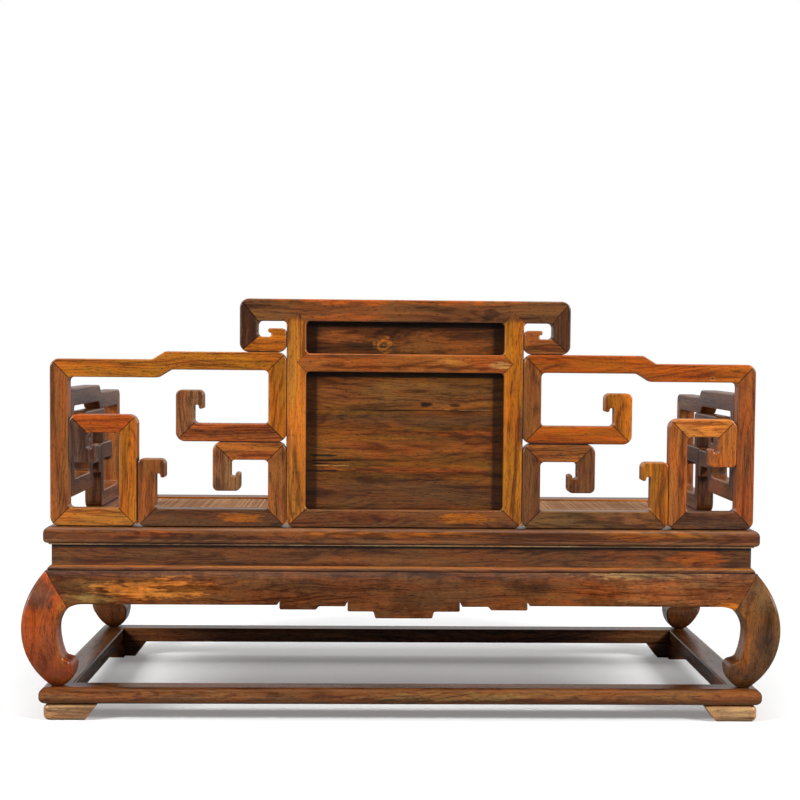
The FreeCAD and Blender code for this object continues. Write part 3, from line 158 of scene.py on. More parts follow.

# Places on one board that differ from its stain: repairs, sapwood, burnt-in dirt, cracks and figure, and
# one line of painted shade in the crease above the back seat rail.
# Each has its centre and its reach along X, Y and Z in millimetres, a stain, how strongly it covers and how
# ragged it is.
PATCHES = {
    "crest_rail": [
        ((30, 484, 1096), (330, 60, 13), "flame", 0.65, 0.6),
        ((-223, 484, 1062), (26, 60, 15), "pitch", 0.6, 0.9),
        ((-330, 484, 1056), (60, 60, 13), "umber", 0.7, 0.8),
        ((150, 484, 1050), (130, 60, 9), "copper", 0.6, 0.8)],
    "back_upper_panel": [
        ((170, 459, 1000), (80, 30, 16), "chestnut", 0.7, 0.8),
        ((-90, 459, 985), (150, 30, 30), "chestnut", 0.6, 0.8),
        ((-150, 459, 1004), (70, 30, 11), "pitch", 0.6, 0.9),
        ((110, 459, 978), (60, 30, 8), "pitch", 0.5, 0.9)],
    "back_lower_panel": [
        ((0, 459, 852), (330, 30, 42), "tan", 0.3, 0.3),
        ((-54, 459, 827), (17, 30, 7), "pitch", 0.95, 0.7),
        ((-130, 459, 825), (15, 30, 5), "pitch", 0.9, 0.7),
        ((0, 459, 811), (280, 30, 1.8), "pitch", 0.8, 0.5),
        ((-180, 459, 813), (60, 30, 1.4), "sand", 0.8, 0.9),
        ((0, 459, 786), (330, 30, 20), "umber", 0.7, 0.5),
        ((-60, 459, 752), (250, 30, 7), "copper", 0.7, 0.9),
        ((0, 459, 712), (280, 30, 30), "copper", 0.6, 0.7),
        ((0, 459, 655), (260, 30, 8), "copper", 0.75, 0.8),
        ((0, 459, 590), (330, 30, 48), "umber", 0.75, 0.4),
        ((212, 459, 692), (46, 30, 3.4), "pitch", 0.95, 0.7),
        ((193, 459, 679), (62, 30, 3), "pitch", 0.95, 0.7),
        ((200, 459, 666), (50, 30, 1.8), "sand", 0.5, 0.8),
        ((205, 459, 670), (40, 30, 2.2), "pitch", 0.9, 0.7),
        ((222, 459, 652), (50, 30, 3.4), "pitch", 0.95, 0.7)],
    "back_middle_rail": [
        ((-245, 484, 929), (30, 60, 10), "sand", 0.6, 0.9),
        ((-120, 484, 935), (44, 60, 11), "honey", 0.8, 0.9),
        ((150, 484, 950), (120, 60, 5), "olive", 0.7, 0.9)],
    "back_stile_left": [
        ((-282, 484, 1072), (70, 60, 34), "brown", 0.95, 0.2),
        ((-303, 484, 763), (10, 60, 70), "umber", 0.8, 0.8)],
    "back_stile_right": [
        ((282, 484, 1072), (70, 60, 34), "brown", 0.95, 0.2),
        ((300, 484, 700), (8, 60, 80), "copper", 0.7, 0.9)],
    "back_bottom_rail": [((-150, 484, 530), (90, 60, 14), "amber", 0.8, 0.9)],
    "left_wing_top_rail": [((-896, 484, 700), (10, 40, 90), "umber", 0.8, 0.9)],
    "right_wing_lower_scroll": [((420, 484, 530), (60, 40, 14), "amber", 0.7, 0.9)],
    "left_wing_lower_scroll": [((-560, 484, 530), (70, 40, 12), "tan", 0.8, 0.9)],
    "back_apron": [
        ((60, 535, 345), (400, 90, 70), "umber", 0.9, 0.8),
        ((830, 520, 352), (52, 90, 60), "olive", 0.8, 0.7),
        ((790, 520, 325), (60, 90, 16), "sage", 0.6, 0.9),
        ((640, 535, 350), (160, 90, 26), "honey", 0.85, 0.9),
        ((560, 535, 350), (100, 90, 10), "pitch", 0.7, 1.0),
        ((-640, 535, 386), (190, 90, 12), "sand", 0.5, 0.9),
        ((-600, 535, 345), (200, 90, 30), "copper", 0.6, 0.9),
        ((-700, 520, 345), (170, 90, 60), "tan", 0.5, 0.8),
        ((-846, 520, 306), (46, 90, 17), "gold", 0.9, 0.4)],
    "back_right_leg": [
        ((878, 540, 230), (14, 60, 100), "gold", 0.7, 0.8),
        ((935, 520, 330), (40, 60, 45), "plum", 0.7, 0.9),
        ((945, 530, 220), (26, 60, 60), "flame", 0.5, 0.9)],
    "back_left_leg": [
        ((-885, 540, 205), (18, 60, 90), "amber", 0.6, 0.9),
        ((-945, 540, 225), (30, 60, 90), "umber", 0.7, 0.9)],
    "back_waist_board": [
        ((-777, 480, 428), (80, 40, 22), "flame", 0.8, 0.9)],
    "back_seat_rail": [
        # Painted shade: a dark line in the crease where the railing's bottom rail sits on the seat rail.
        ((0, 478, 505), (EVERYWHERE, 9, 3.5), "pitch", 0.9, 0.1),
        ((656, 498, 488), (110, 40, 8), "copper", 0.7, 0.9),
        ((-641, 498, 490), (190, 40, 12), "amber", 0.6, 0.9),
        ((0, 498, 490), (240, 40, 8), "amber", 0.6, 0.9)],
    "back_base_rail": [
        ((-123, 510, 67), (230, 40, 12), "sage", 0.7, 0.9),
        ((560, 510, 70), (190, 40, 10), "tan", 0.7, 0.9)],
}

# The same for all the nodes of a family: painted shadow under an overhang and painted shade in a quirk, and
# painted highlights on edges that catch the light.
FAMILY_PATCHES = {
    # Painted shadow that the seat rail's overhang casts on the top of the waist board.
    "waist_board": [((0, 0, 461), (EVERYWHERE, EVERYWHERE, 13), "pitch", 0.9, 0.1)],
    "moulding": [
        # Painted highlight on the moulding's sloped top.
        ((0, 0, 404), (EVERYWHERE, EVERYWHERE, 5), "amber", 0.7, 0.4),
        # Painted shade in the gap under the moulding's lower edge.
        ((0, 0, 391), (EVERYWHERE, EVERYWHERE, 2.5), "pitch", 0.95, 0.1)],
    "seat_rail": [
        # Painted highlight on the rail's lower rounding.
        ((0, 0, 469), (EVERYWHERE, EVERYWHERE, 5), "tan", 0.8, 0.4),
        # Painted shade in the dark crease above the bead.
        ((0, 0, 462.6), (EVERYWHERE, EVERYWHERE, 1.8), "pitch", 0.95, 0.1),
        # Painted highlight on the bead under the rail.
        ((0, 0, 459.2), (EVERYWHERE, EVERYWHERE, 2.4), "rubbed_and_highlit", 1.0, 0.1)],
    # A tan streak along the top of each base rail, partly painted highlight of its glossy top edge.
    "base_rail": [((0, 0, 69), (EVERYWHERE, EVERYWHERE, 8), "tan", 0.6, 0.9)],
}

# Knots: centre and reach as above, and the stain of their rings.
KNOTS = {
    "back_upper_panel": [((56, 459, 981), (27, 30, 22), "gold")],
    "left_wing_top_rail": [((-801, 484, 900), (8, 30, 8), "honey")],
}


class DaybedWood(bpy.types.PropertyGroup):
    """Scale and sheen of the waxed wood."""

    figure_width: bpy.props.FloatProperty(
        name="Figure Width", description="Width of the broad dark and light figure", default=30 * MM,
        unit="LENGTH")
    figure_length: bpy.props.FloatProperty(
        name="Figure Length", description="Length of that figure along the grain", default=420 * MM,
        unit="LENGTH")
    streak_width: bpy.props.FloatProperty(
        name="Streak Width", description="Width of the fine streaks", default=4.5 * MM, unit="LENGTH")
    streak_length: bpy.props.FloatProperty(
        name="Streak Length", description="Length of the fine streaks", default=170 * MM, unit="LENGTH")
    ring_width: bpy.props.FloatProperty(
        name="Ring Width", description="Distance between growth rings", default=7 * MM, unit="LENGTH")
    pore_width: bpy.props.FloatProperty(
        name="Pore Width", description="Width of the open pores, drawn four times as wide as they are",
        default=1.6 * MM, unit="LENGTH")
    pore_length: bpy.props.FloatProperty(
        name="Pore Length", description="Length of the open pores", default=12 * MM, unit="LENGTH")
    seam_width: bpy.props.FloatProperty(
        name="Seam Width", description="Dark line on each side of a joint", default=1.1 * MM, unit="LENGTH")
    # Width of the painted shade along the sides of a sunk panel, where its frame casts shadow; half of it
    # along the upper edge.
    recess_shade_width: bpy.props.FloatProperty(
        name="Recess Shade Width", description="Painted shade round a sunk panel, where its frame casts shadow",
        default=32 * MM, unit="LENGTH")
    roughness: bpy.props.FloatProperty(
        name="Roughness", description="Roughness of the rubbed wax", default=0.3, min=0, max=1,
        subtype="FACTOR")


class DaybedStains(bpy.types.PropertyGroup):
    """The stains of the bars and boards."""

    __annotations__ = {
        name: bpy.props.FloatVectorProperty(
            name=name.title(), description="Tone of the wood stained " + name, default=linear(code),
            min=0, max=1, subtype="COLOR")
        for name, code in STAINS.items()}


class DaybedEdges(bpy.types.PropertyGroup):
    """Eased edges of the pieces that aren't railing bars."""

    leg: bpy.props.FloatProperty(
        name="Leg", description="Eased edges of the legs", default=7 * MM, unit="LENGTH")
    apron: bpy.props.FloatProperty(
        name="Apron", description="Eased edges of the aprons", default=2.5 * MM, unit="LENGTH")
    board: bpy.props.FloatProperty(
        name="Board", description="Eased edges of boards, mouldings and rails", default=1 * MM,
        unit="LENGTH")


class DaybedMat(bpy.types.PropertyGroup):
    """The woven cane mat."""

    strand: bpy.props.FloatProperty(
        name="Strand", description="Distance between strands, drawn twice as coarse as real cane",
        default=6 * MM, unit="LENGTH")
    strand_share: bpy.props.FloatProperty(
        name="Strand Share", description="Share of that distance that a strand covers", default=0.94,
        min=0.5, max=1, subtype="FACTOR")
    lift: bpy.props.FloatProperty(
        name="Lift", description="Height that a strand gains where it passes over", default=0.55 * MM,
        unit="LENGTH")
    pale: bpy.props.FloatVectorProperty(
        name="Pale Cane", description="Tone of the lightest strands", default=linear("#CB9D7A"),
        min=0, max=1, subtype="COLOR")
    deep: bpy.props.FloatVectorProperty(
        name="Deep Cane", description="Tone of the darkest strands", default=linear("#96694A"),
        min=0, max=1, subtype="COLOR")


class DaybedStage(bpy.types.PropertyGroup):
    """Camera and lamps."""

    camera_place: bpy.props.FloatVectorProperty(
        name="Camera", description="Camera place, behind the daybed", default=(0.0778, 4.8163, 0.9672),
        subtype="TRANSLATION")
    yaw: bpy.props.FloatProperty(
        name="Yaw", description="Camera turned to the daybed's left", default=0.0336, subtype="ANGLE")
    pitch: bpy.props.FloatProperty(
        name="Pitch", description="Camera tipped down", default=0.0587, subtype="ANGLE")
    roll: bpy.props.FloatProperty(name="Roll", description="Camera rolled", default=0.0096, subtype="ANGLE")
    lens: bpy.props.FloatProperty(
        name="Lens", description="Focal length in millimetres, on a 36 mm sensor", default=75.27)
    key_power: bpy.props.FloatProperty(
        name="Key Power", description="Each side lamp", default=175, unit="POWER")
    top_power: bpy.props.FloatProperty(
        name="Top Power", description="Lamp overhead", default=75, unit="POWER")
    fill_power: bpy.props.FloatProperty(
        name="Fill Power", description="Lamp in front of the open side", default=110, unit="POWER")


# Reading the frame

# Corners count as one where they agree to so many decimals of a metre.
SAME_CORNER = 6


def closed_solids(mesh):
    """A node's loose triangles as closed solids, in the order in which the mesh holds them."""
    keys = [tuple(round(value, SAME_CORNER) for value in vertex.co) for vertex in mesh.vertices]
    solids = []
    triangles = []
    unmatched = set()
    for polygon in mesh.polygons:
        corners = [keys[number] for number in polygon.vertices]
        if len(set(corners)) < 3:
            continue
        triangles.append(corners)
        for start, end in zip(corners, corners[1:] + corners[:1]):
            if (end, start) in unmatched:
                unmatched.remove((end, start))
            else:
                unmatched.add((start, end))
        if not unmatched:
            solids.append(triangles)
            triangles = []
    if triangles:
        solids.append(triangles)
    return solids


class Bar:
    """One solid of a node: its merged mesh, its grain's direction and the planes where it is joined."""

    def __init__(self, triangles):
        places = {}
        faces = []
        for corners in triangles:
            faces.append([places.setdefault(corner, len(places)) for corner in corners])
        self.points = [Vector(place) for place in places]
        self.faces = faces
        self.low = Vector([min(point[axis] for point in self.points) for axis in range(3)])
        self.high = Vector([max(point[axis] for point in self.points) for axis in range(3)])
        spans = self.high - self.low
        self.grain = max(range(3), key=lambda axis: spans[axis])
        self.centre = (self.low + self.high) / 2
        self.joints = []
        self.touches = []
        self.ends = {"low": [], "high": []}


# Two faces lie in one plane where they are this close, and their normals this nearly alike.
FLAT_WITHIN = 0.2 * MM
ALIKE = 0.999
# Bars meet where their faces are this close. A face smaller than this area makes no joint, and a triangle
# smaller than a sliver isn't looked at.
CONTACT = 0.35 * MM
SMALL_AREA = 300 * MM * MM
SLIVER = MM * MM
# The joint at a bar's end lies this close to it, and its normal has at least this share along the grain.
END_REACH = 70 * MM
END_SHARE = 0.3
# Bars touch along a strip at least this wide.
TOUCH_LEAST = 5 * MM
# Bars count as level where their middles are about this close in height.
LEVEL = 5 * MM


def plane_key(normal, place):
    return tuple(round(value, 2) for value in normal) + (round(normal.dot(place) / FLAT_WITHIN),)


def find_joints(bars):
    """Find each bar's flat faces that lie against another bar, and the ones at its two ends."""
    points = []
    faces = []
    owners = []
    for number, bar in enumerate(bars):
        shift = len(points)
        points.extend(bar.points)
        for face in bar.faces:
            faces.append([index + shift for index in face])
            owners.append(number)
    tree = BVHTree.FromPolygons(points, faces)
    for number, bar in enumerate(bars):
        planes = {}
        for face in bar.faces:
            corners = [bar.points[index] for index in face]
            cross = (corners[1] - corners[0]).cross(corners[2] - corners[0])
            area = cross.length / 2
            if area < SLIVER:
                continue
            normal = cross.normalized()
            # A plane's area, its largest triangle's area and middle, its normal and a place on it.
            entry = planes.setdefault(plane_key(normal, corners[0]), [0, 0, None, normal, corners[0]])
            entry[0] += area
            if area > entry[1]:
                entry[1] = area
                entry[2] = (corners[0] + corners[1] + corners[2]) / 3
        for area, _, spot, normal, place in planes.values():
            if area < SMALL_AREA:
                continue
            near = tree.find_nearest_range(spot, CONTACT)
            if not any(owners[hit[2]] != number for hit in near):
                continue
            bar.joints.append((normal, place))
            # A notch for another bar, far from either end, is not one of its ends.
            if abs(normal[bar.grain]) > END_SHARE:
                if spot[bar.grain] - bar.low[bar.grain] < END_REACH:
                    bar.ends["low"].append((area, normal, place))
                elif bar.high[bar.grain] - spot[bar.grain] < END_REACH:
                    bar.ends["high"].append((area, normal, place))
        for planes in bar.ends.values():
            planes.sort(key=lambda entry: -entry[0])
            del planes[2:]
    for bar in bars:
        find_touches(bar, bars)


def find_touches(bar, bars):
    """Find where other bars lie along this one, as flat boxes with a centre and half a size."""
    for normal, place in bar.joints:
        axis = max(range(3), key=lambda number: abs(normal[number]))
        if abs(normal[axis]) < ALIKE or axis == bar.grain:
            continue
        for other in bars:
            flush = min(abs(other.low[axis] - place[axis]), abs(other.high[axis] - place[axis])) < CONTACT
            low = Vector([max(bar.low[number], other.low[number]) for number in range(3)])
            high = Vector([min(bar.high[number], other.high[number]) for number in range(3)])
            narrow = any(high[number] - low[number] < TOUCH_LEAST for number in across(axis))
            if other is bar or narrow or not flush:
                continue
            low[axis] = high[axis] = place[axis]
            bar.touches.append(((low + high) / 2, (high - low) / 2))


def read_bars():
    """Every wooden node as its bars, from the highest to the lowest."""
    nodes = {}
    for name, thing in frame["nodes"].items():
        if name == "seat_mat":
            continue
        bars = [Bar(triangles) for triangles in closed_solids(thing.data)]
        bars.sort(key=lambda bar: (round(-bar.centre.z / LEVEL), bar.centre.x, bar.centre.y))
        nodes[name] = bars
    find_joints([bar for bars in nodes.values() for bar in bars])
    return nodes


# Finishing a piece

# Joints so tight that no line shows.
TIGHT_ENDS = {"back_stile_left": "high", "back_stile_right": "high"}
FLAT_ANGLE = math.radians(0.6)
SHARP_ANGLE = math.radians(35)
EASED_STEPS = 3


def lies_on(face, joints):
    for normal, place in joints:
        apart = abs((face.calc_center_median() - place).dot(normal))
        if abs(face.normal.dot(normal)) > ALIKE and apart < FLAT_WITHIN:
            return True
    return False


def eased(bar, width):
    """The bar's mesh with flat triangles joined and its open edges eased. Joint edges stay tight."""
    shape = bmesh.new()
    for point in bar.points:
        shape.verts.new(point)
    shape.verts.ensure_lookup_table()
    for face in bar.faces:
        try:
            shape.faces.new([shape.verts[index] for index in face])
        except ValueError:
            pass
    bmesh.ops.recalc_face_normals(shape, faces=shape.faces)
    bmesh.ops.dissolve_limit(shape, angle_limit=FLAT_ANGLE, verts=shape.verts, edges=shape.edges)
    shape.normal_update()
    if width:
        open_edges = []
        for edge in shape.edges:
            if len(edge.link_faces) == 2 and edge.calc_face_angle() > SHARP_ANGLE:
                if not any(lies_on(face, bar.joints) for face in edge.link_faces):
                    open_edges.append(edge)
        if open_edges:
            bmesh.ops.bevel(shape, geom=open_edges, offset=width, segments=EASED_STEPS, profile=0.5,
                            affect="EDGES", clamp_overlap=False)
    bmesh.ops.triangulate(shape, faces=[face for face in shape.faces if len(face.verts) > 4])
    points = [vertex.co.copy() for vertex in shape.verts]
    faces = [[vertex.index for vertex in face.verts] for face in shape.faces]
    shape.free()
    return points, faces


def across(grain):
    """The two axes across the grain."""
    return [axis for axis in range(3) if axis != grain]


# The seam distance of a bar's end without a joint.
FAR = 1.0
# Where in its log each bar was sawn: how far along, and how far from the heart both ways, in metres.
LOG_RUN = (0, 8)
HEART_GAP = (0.04, 0.12)


def wood_piece(node, bars, stains, width, chance):
    """A node's bars as one piece, each with its own grain, stain and joint distances for the material."""
    points = []
    faces = []
    grain_places = []
    tones = []
    seams = {"low": [], "high": []}
    for number, bar in enumerate(bars):
        bar_points, bar_faces = eased(bar, width)
        shift = len(points)
        points.extend(bar_points)
        faces.extend([index + shift for index in face] for face in bar_faces)
        first, second = across(bar.grain)
        start = Vector([chance.uniform(*reach) for reach in (LOG_RUN, HEART_GAP, HEART_GAP)])
        tone = stain(stains[number % len(stains)])
        for point in bar_points:
            place = point - bar.centre
            grain_places.extend(Vector((place[bar.grain], place[first], place[second])) + start)
            tones.extend(tone)
            for side, planes in bar.ends.items():
                if TIGHT_ENDS.get(node) == side:
                    planes = []
                gaps = [abs((point - on_plane).dot(normal)) for _, normal, on_plane in planes]
                seams[side].extend((gaps + [FAR, FAR, FAR])[:3])
    mesh = bpy.data.meshes.new(node + "_wood")
    mesh.from_pydata(points, [], faces)
    mesh.attributes.new("grain", "FLOAT_VECTOR", "POINT").data.foreach_set("vector", grain_places)
    mesh.attributes.new("stain", "FLOAT_COLOR", "POINT").data.foreach_set("color", tones)
    for side, gaps in seams.items():
        mesh.attributes.new("seam_" + side, "FLOAT_VECTOR", "POINT").data.foreach_set("vector", gaps)
    mesh.shade_smooth()
    mesh.set_sharp_from_angle(angle=SHARP_ANGLE)
    piece = bpy.data.objects.new(node + "_wood", mesh)
    bpy.context.scene.collection.objects.link(piece)
    bake_modifier(piece, "WEIGHTED_NORMAL", {"keep_sharp": True})
    return piece


def bake_modifier(piece, kind, settings):
    """Add a modifier and keep its result as the piece's own mesh."""
    modifier = piece.modifiers.new(kind.title(), kind)
    for key, value in settings.items():
        setattr(modifier, key, value)
    evaluated = piece.evaluated_get(bpy.context.evaluated_depsgraph_get())
    mesh = bpy.data.meshes.new_from_object(evaluated)
    piece.modifiers.clear()
    old = piece.data
    piece.data = mesh
    bpy.data.meshes.remove(old)
    mesh.name = piece.name


def stains_of(node):
    if node in BAR_STAINS:
        return BAR_STAINS[node]
    for family, stains in FAMILY_STAINS.items():
        if family in node:
            return stains
    return ["brown"]


def body_of(node):
    for body, nodes in frame["record"]["behaviour"]["bodies"].items():
        if node in nodes:
            return body
    raise ValueError(node)


def stand_for(piece, node):
    """The piece takes the place of the node, on its body."""
    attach(piece, body_of(node))
    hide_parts(node)


# Materials

def new_material(name):
    material = bpy.data.materials.new(name)
    material.use_nodes = True
    material.node_tree.nodes.clear()
    return material, material.node_tree


def drawn_out(tree, place, length, width, detail=1.0, roughness=0.5, distortion=0.0):
    """Noise drawn out along the grain, with waves this long and this wide."""
    scaled = add(tree, "ShaderNodeVectorMath", {"operation": "MULTIPLY"},
                 {0: place, 1: (1 / length, 1 / width, 1 / width)})
    return add(tree, "ShaderNodeTexNoise", {}, {
        "Vector": scaled, "Scale": 1.0, "Detail": detail, "Roughness": roughness, "Distortion": distortion})


def laid_over(tree, under, over, value, bare, covered, most=1.0):
    """One colour over another: none of it where the value is at bare, and the share most at covered."""
    share = add(tree, "ShaderNodeMapRange", {"interpolation_type": "SMOOTHSTEP"},
                {"Value": value, "From Min": bare, "From Max": covered, "To Min": 0.0, "To Max": most})
    return add(tree, "ShaderNodeMix", {"data_type": "RGBA"},
               {"Factor": share, 6: under, 7: over}).outputs[2]


def dimmed(tree, light, value, dark, clear, kept):
    """Less light where the value is at dark, down to the share kept, and all of it where it is at clear."""
    share = add(tree, "ShaderNodeMapRange", {"interpolation_type": "SMOOTHSTEP"},
                {"Value": value, "From Min": dark, "From Max": clear, "To Min": kept, "To Max": 1.0})
    return add(tree, "ShaderNodeMath", {"operation": "MULTIPLY"}, {0: share, 1: light})


def total(tree, *values):
    """The sum of values, each a socket and its weight."""
    result = 0.0
    for value, weight in values:
        result = add(tree, "ShaderNodeMath", {"operation": "MULTIPLY_ADD"},
                     {0: value, 1: weight, 2: result})
    return result


def largest(tree, vector):
    """The largest of a vector's three components."""
    parts = add(tree, "ShaderNodeSeparateXYZ", {}, {0: vector}).outputs
    most = parts[0]
    for part in parts[1:]:
        most = add(tree, "ShaderNodeMath", {"operation": "MAXIMUM"}, {0: most, 1: part})
    return most


def distance_from(tree, spot, centre, reach):
    """How far a spot is from the centre, 1 at the reach along each axis, both in millimetres."""
    away = add(tree, "ShaderNodeVectorMath", {"operation": "SUBTRACT"},
               {0: spot, 1: [value * MM for value in centre]})
    share = add(tree, "ShaderNodeVectorMath", {"operation": "DIVIDE"},
                {0: away, 1: [value * MM for value in reach]})
    return add(tree, "ShaderNodeVectorMath", {"operation": "LENGTH"}, {0: share}).outputs["Value"]


def stain(name):
    """A stain's colour, opaque."""
    return list(getattr(bpy.context.scene.daybed_stains, name)) + [1.0]


def patches_of(node):
    """The node's own patches, then those of its family."""
    shared = [patch for family, patches in FAMILY_PATCHES.items() if family in node for patch in patches]
    return PATCHES.get(node, []) + shared


# What the wood's tone is multiplied by: where the figure is darkest and lightest, in the reddish and the
# dull shade that drift through a board, and in the clouds of an old polish.
DEEP_TINT = (0.40, 0.34, 0.34)
GOLD_TINT = (1.5, 1.55, 1.3)
RUDDY_TINT = (1.09, 0.92, 0.80)
DRAB_TINT = (0.91, 0.99, 1.02)
CLOUD_TINT = (0.3, 0.27, 0.3)

# How much each part of the grain adds to the figure, and their sum at an even tone.
BROAD_SHARE = 0.66
STREAK_SHARE = 0.30
FINE_SHARE = 0.16
RING_SHARE = 0.08
EVEN_TONE = 0.62

SWAY_LENGTH = 160 * MM
RAGGED_LENGTH = 45 * MM
RAGGED_WIDTH = 9 * MM
CLOUD_SIZE = 62.5 * MM
WHORL_SIZE = 50 / 3 * MM
PORE_DEPTH = 0.25 * MM
# How far a knot's rings wind with its whorls, and with the distance from its middle, in radians.
WHORL_WINDING = 16.0
KNOT_WINDING = 10.0


def patched(tree, node, tone, spot, grain):
    """The stain of each bar, changed where the node's board has patches and knots."""
    ragged = drawn_out(tree, grain, RAGGED_LENGTH, RAGGED_WIDTH, 3.0, 0.65)
    for centre, reach, name, cover, rough in patches_of(node):
        away = distance_from(tree, spot, centre, reach)
        frayed = total(tree, (ragged, rough * 3), (away, 1.0), (rough, -1.5))
        tone = laid_over(tree, tone, stain(name), frayed, bare=1.1, covered=0.6, most=cover)
    for centre, reach, name in KNOTS.get(node, ()):
        away = distance_from(tree, spot, centre, reach)
        whorl = add(tree, "ShaderNodeTexNoise", {},
                    {"Vector": spot, "Scale": 1 / WHORL_SIZE, "Detail": 2.0})
        wavy = total(tree, (whorl, WHORL_WINDING), (away, KNOT_WINDING))
        rings = add(tree, "ShaderNodeMath", {"operation": "SINE"}, {0: wavy})
        knot = laid_over(tree, stain("umber"), stain(name), rings, bare=-1.0, covered=0.9)
        frayed = total(tree, (ragged, 1.0), (away, 1.0))
        tone = laid_over(tree, tone, knot, frayed, bare=1.7, covered=1.1, most=0.85)
    return tone


def joint_lines_and_groove_shade(tree, wood, spot, touches):
    """How much light is left on the wood: less on the dark line at a joint, and less where painted shade
    darkens the groove in which another bar lies along this one.
    """
    light = 1.0
    for side in ("low", "high"):
        seams = add(tree, "ShaderNodeAttribute", {"attribute_name": "seam_" + side}).outputs["Vector"]
        gaps = add(tree, "ShaderNodeSeparateXYZ", {}, {0: seams}).outputs
        nearest = add(tree, "ShaderNodeMath", {"operation": "MINIMUM"}, {0: gaps[0], 1: gaps[1]})
        light = dimmed(tree, light, nearest, dark=wood.seam_width * 0.4, clear=wood.seam_width * 1.6,
                       kept=0.12)
    # Painted shade in the groove where another bar lies along this one.
    for centre, half in touches:
        away = add(tree, "ShaderNodeVectorMath", {"operation": "SUBTRACT"}, {0: spot, 1: centre})
        away = add(tree, "ShaderNodeVectorMath", {"operation": "ABSOLUTE"}, {0: away})
        outside = add(tree, "ShaderNodeVectorMath", {"operation": "SUBTRACT"}, {0: away, 1: half})
        light = dimmed(tree, light, largest(tree, outside), dark=wood.seam_width,
                       clear=wood.seam_width * 3.2, kept=0.1)
    return light


def painted_recess_shade(tree, wood, spot, light, opening):
    """The light, less along the sides and the upper edge of a sunk panel's opening: painted shade where the
    frame casts its shadow into the recess.
    """
    low, high = opening
    places = add(tree, "ShaderNodeSeparateXYZ", {}, {0: spot}).outputs
    middle = (low + high) / 2
    sideways = add(tree, "ShaderNodeMath", {"operation": "SUBTRACT"}, {0: places[0], 1: middle.x})
    sideways = add(tree, "ShaderNodeMath", {"operation": "ABSOLUTE"}, {0: sideways})
    upwards = add(tree, "ShaderNodeMath", {"operation": "SUBTRACT"}, {0: places[2], 1: middle.z})
    # Painted shade: darkest near the sides and the upper edge, as the frame's shadow in the recess.
    for offset, half, border, kept in ((sideways, (high.x - low.x) / 2, wood.recess_shade_width, 0.42),
                                       (upwards, (high.z - low.z) / 2, wood.recess_shade_width / 2, 0.2)):
        light = dimmed(tree, light, offset, dark=half - border * 0.75, clear=half - border, kept=kept)
    return light


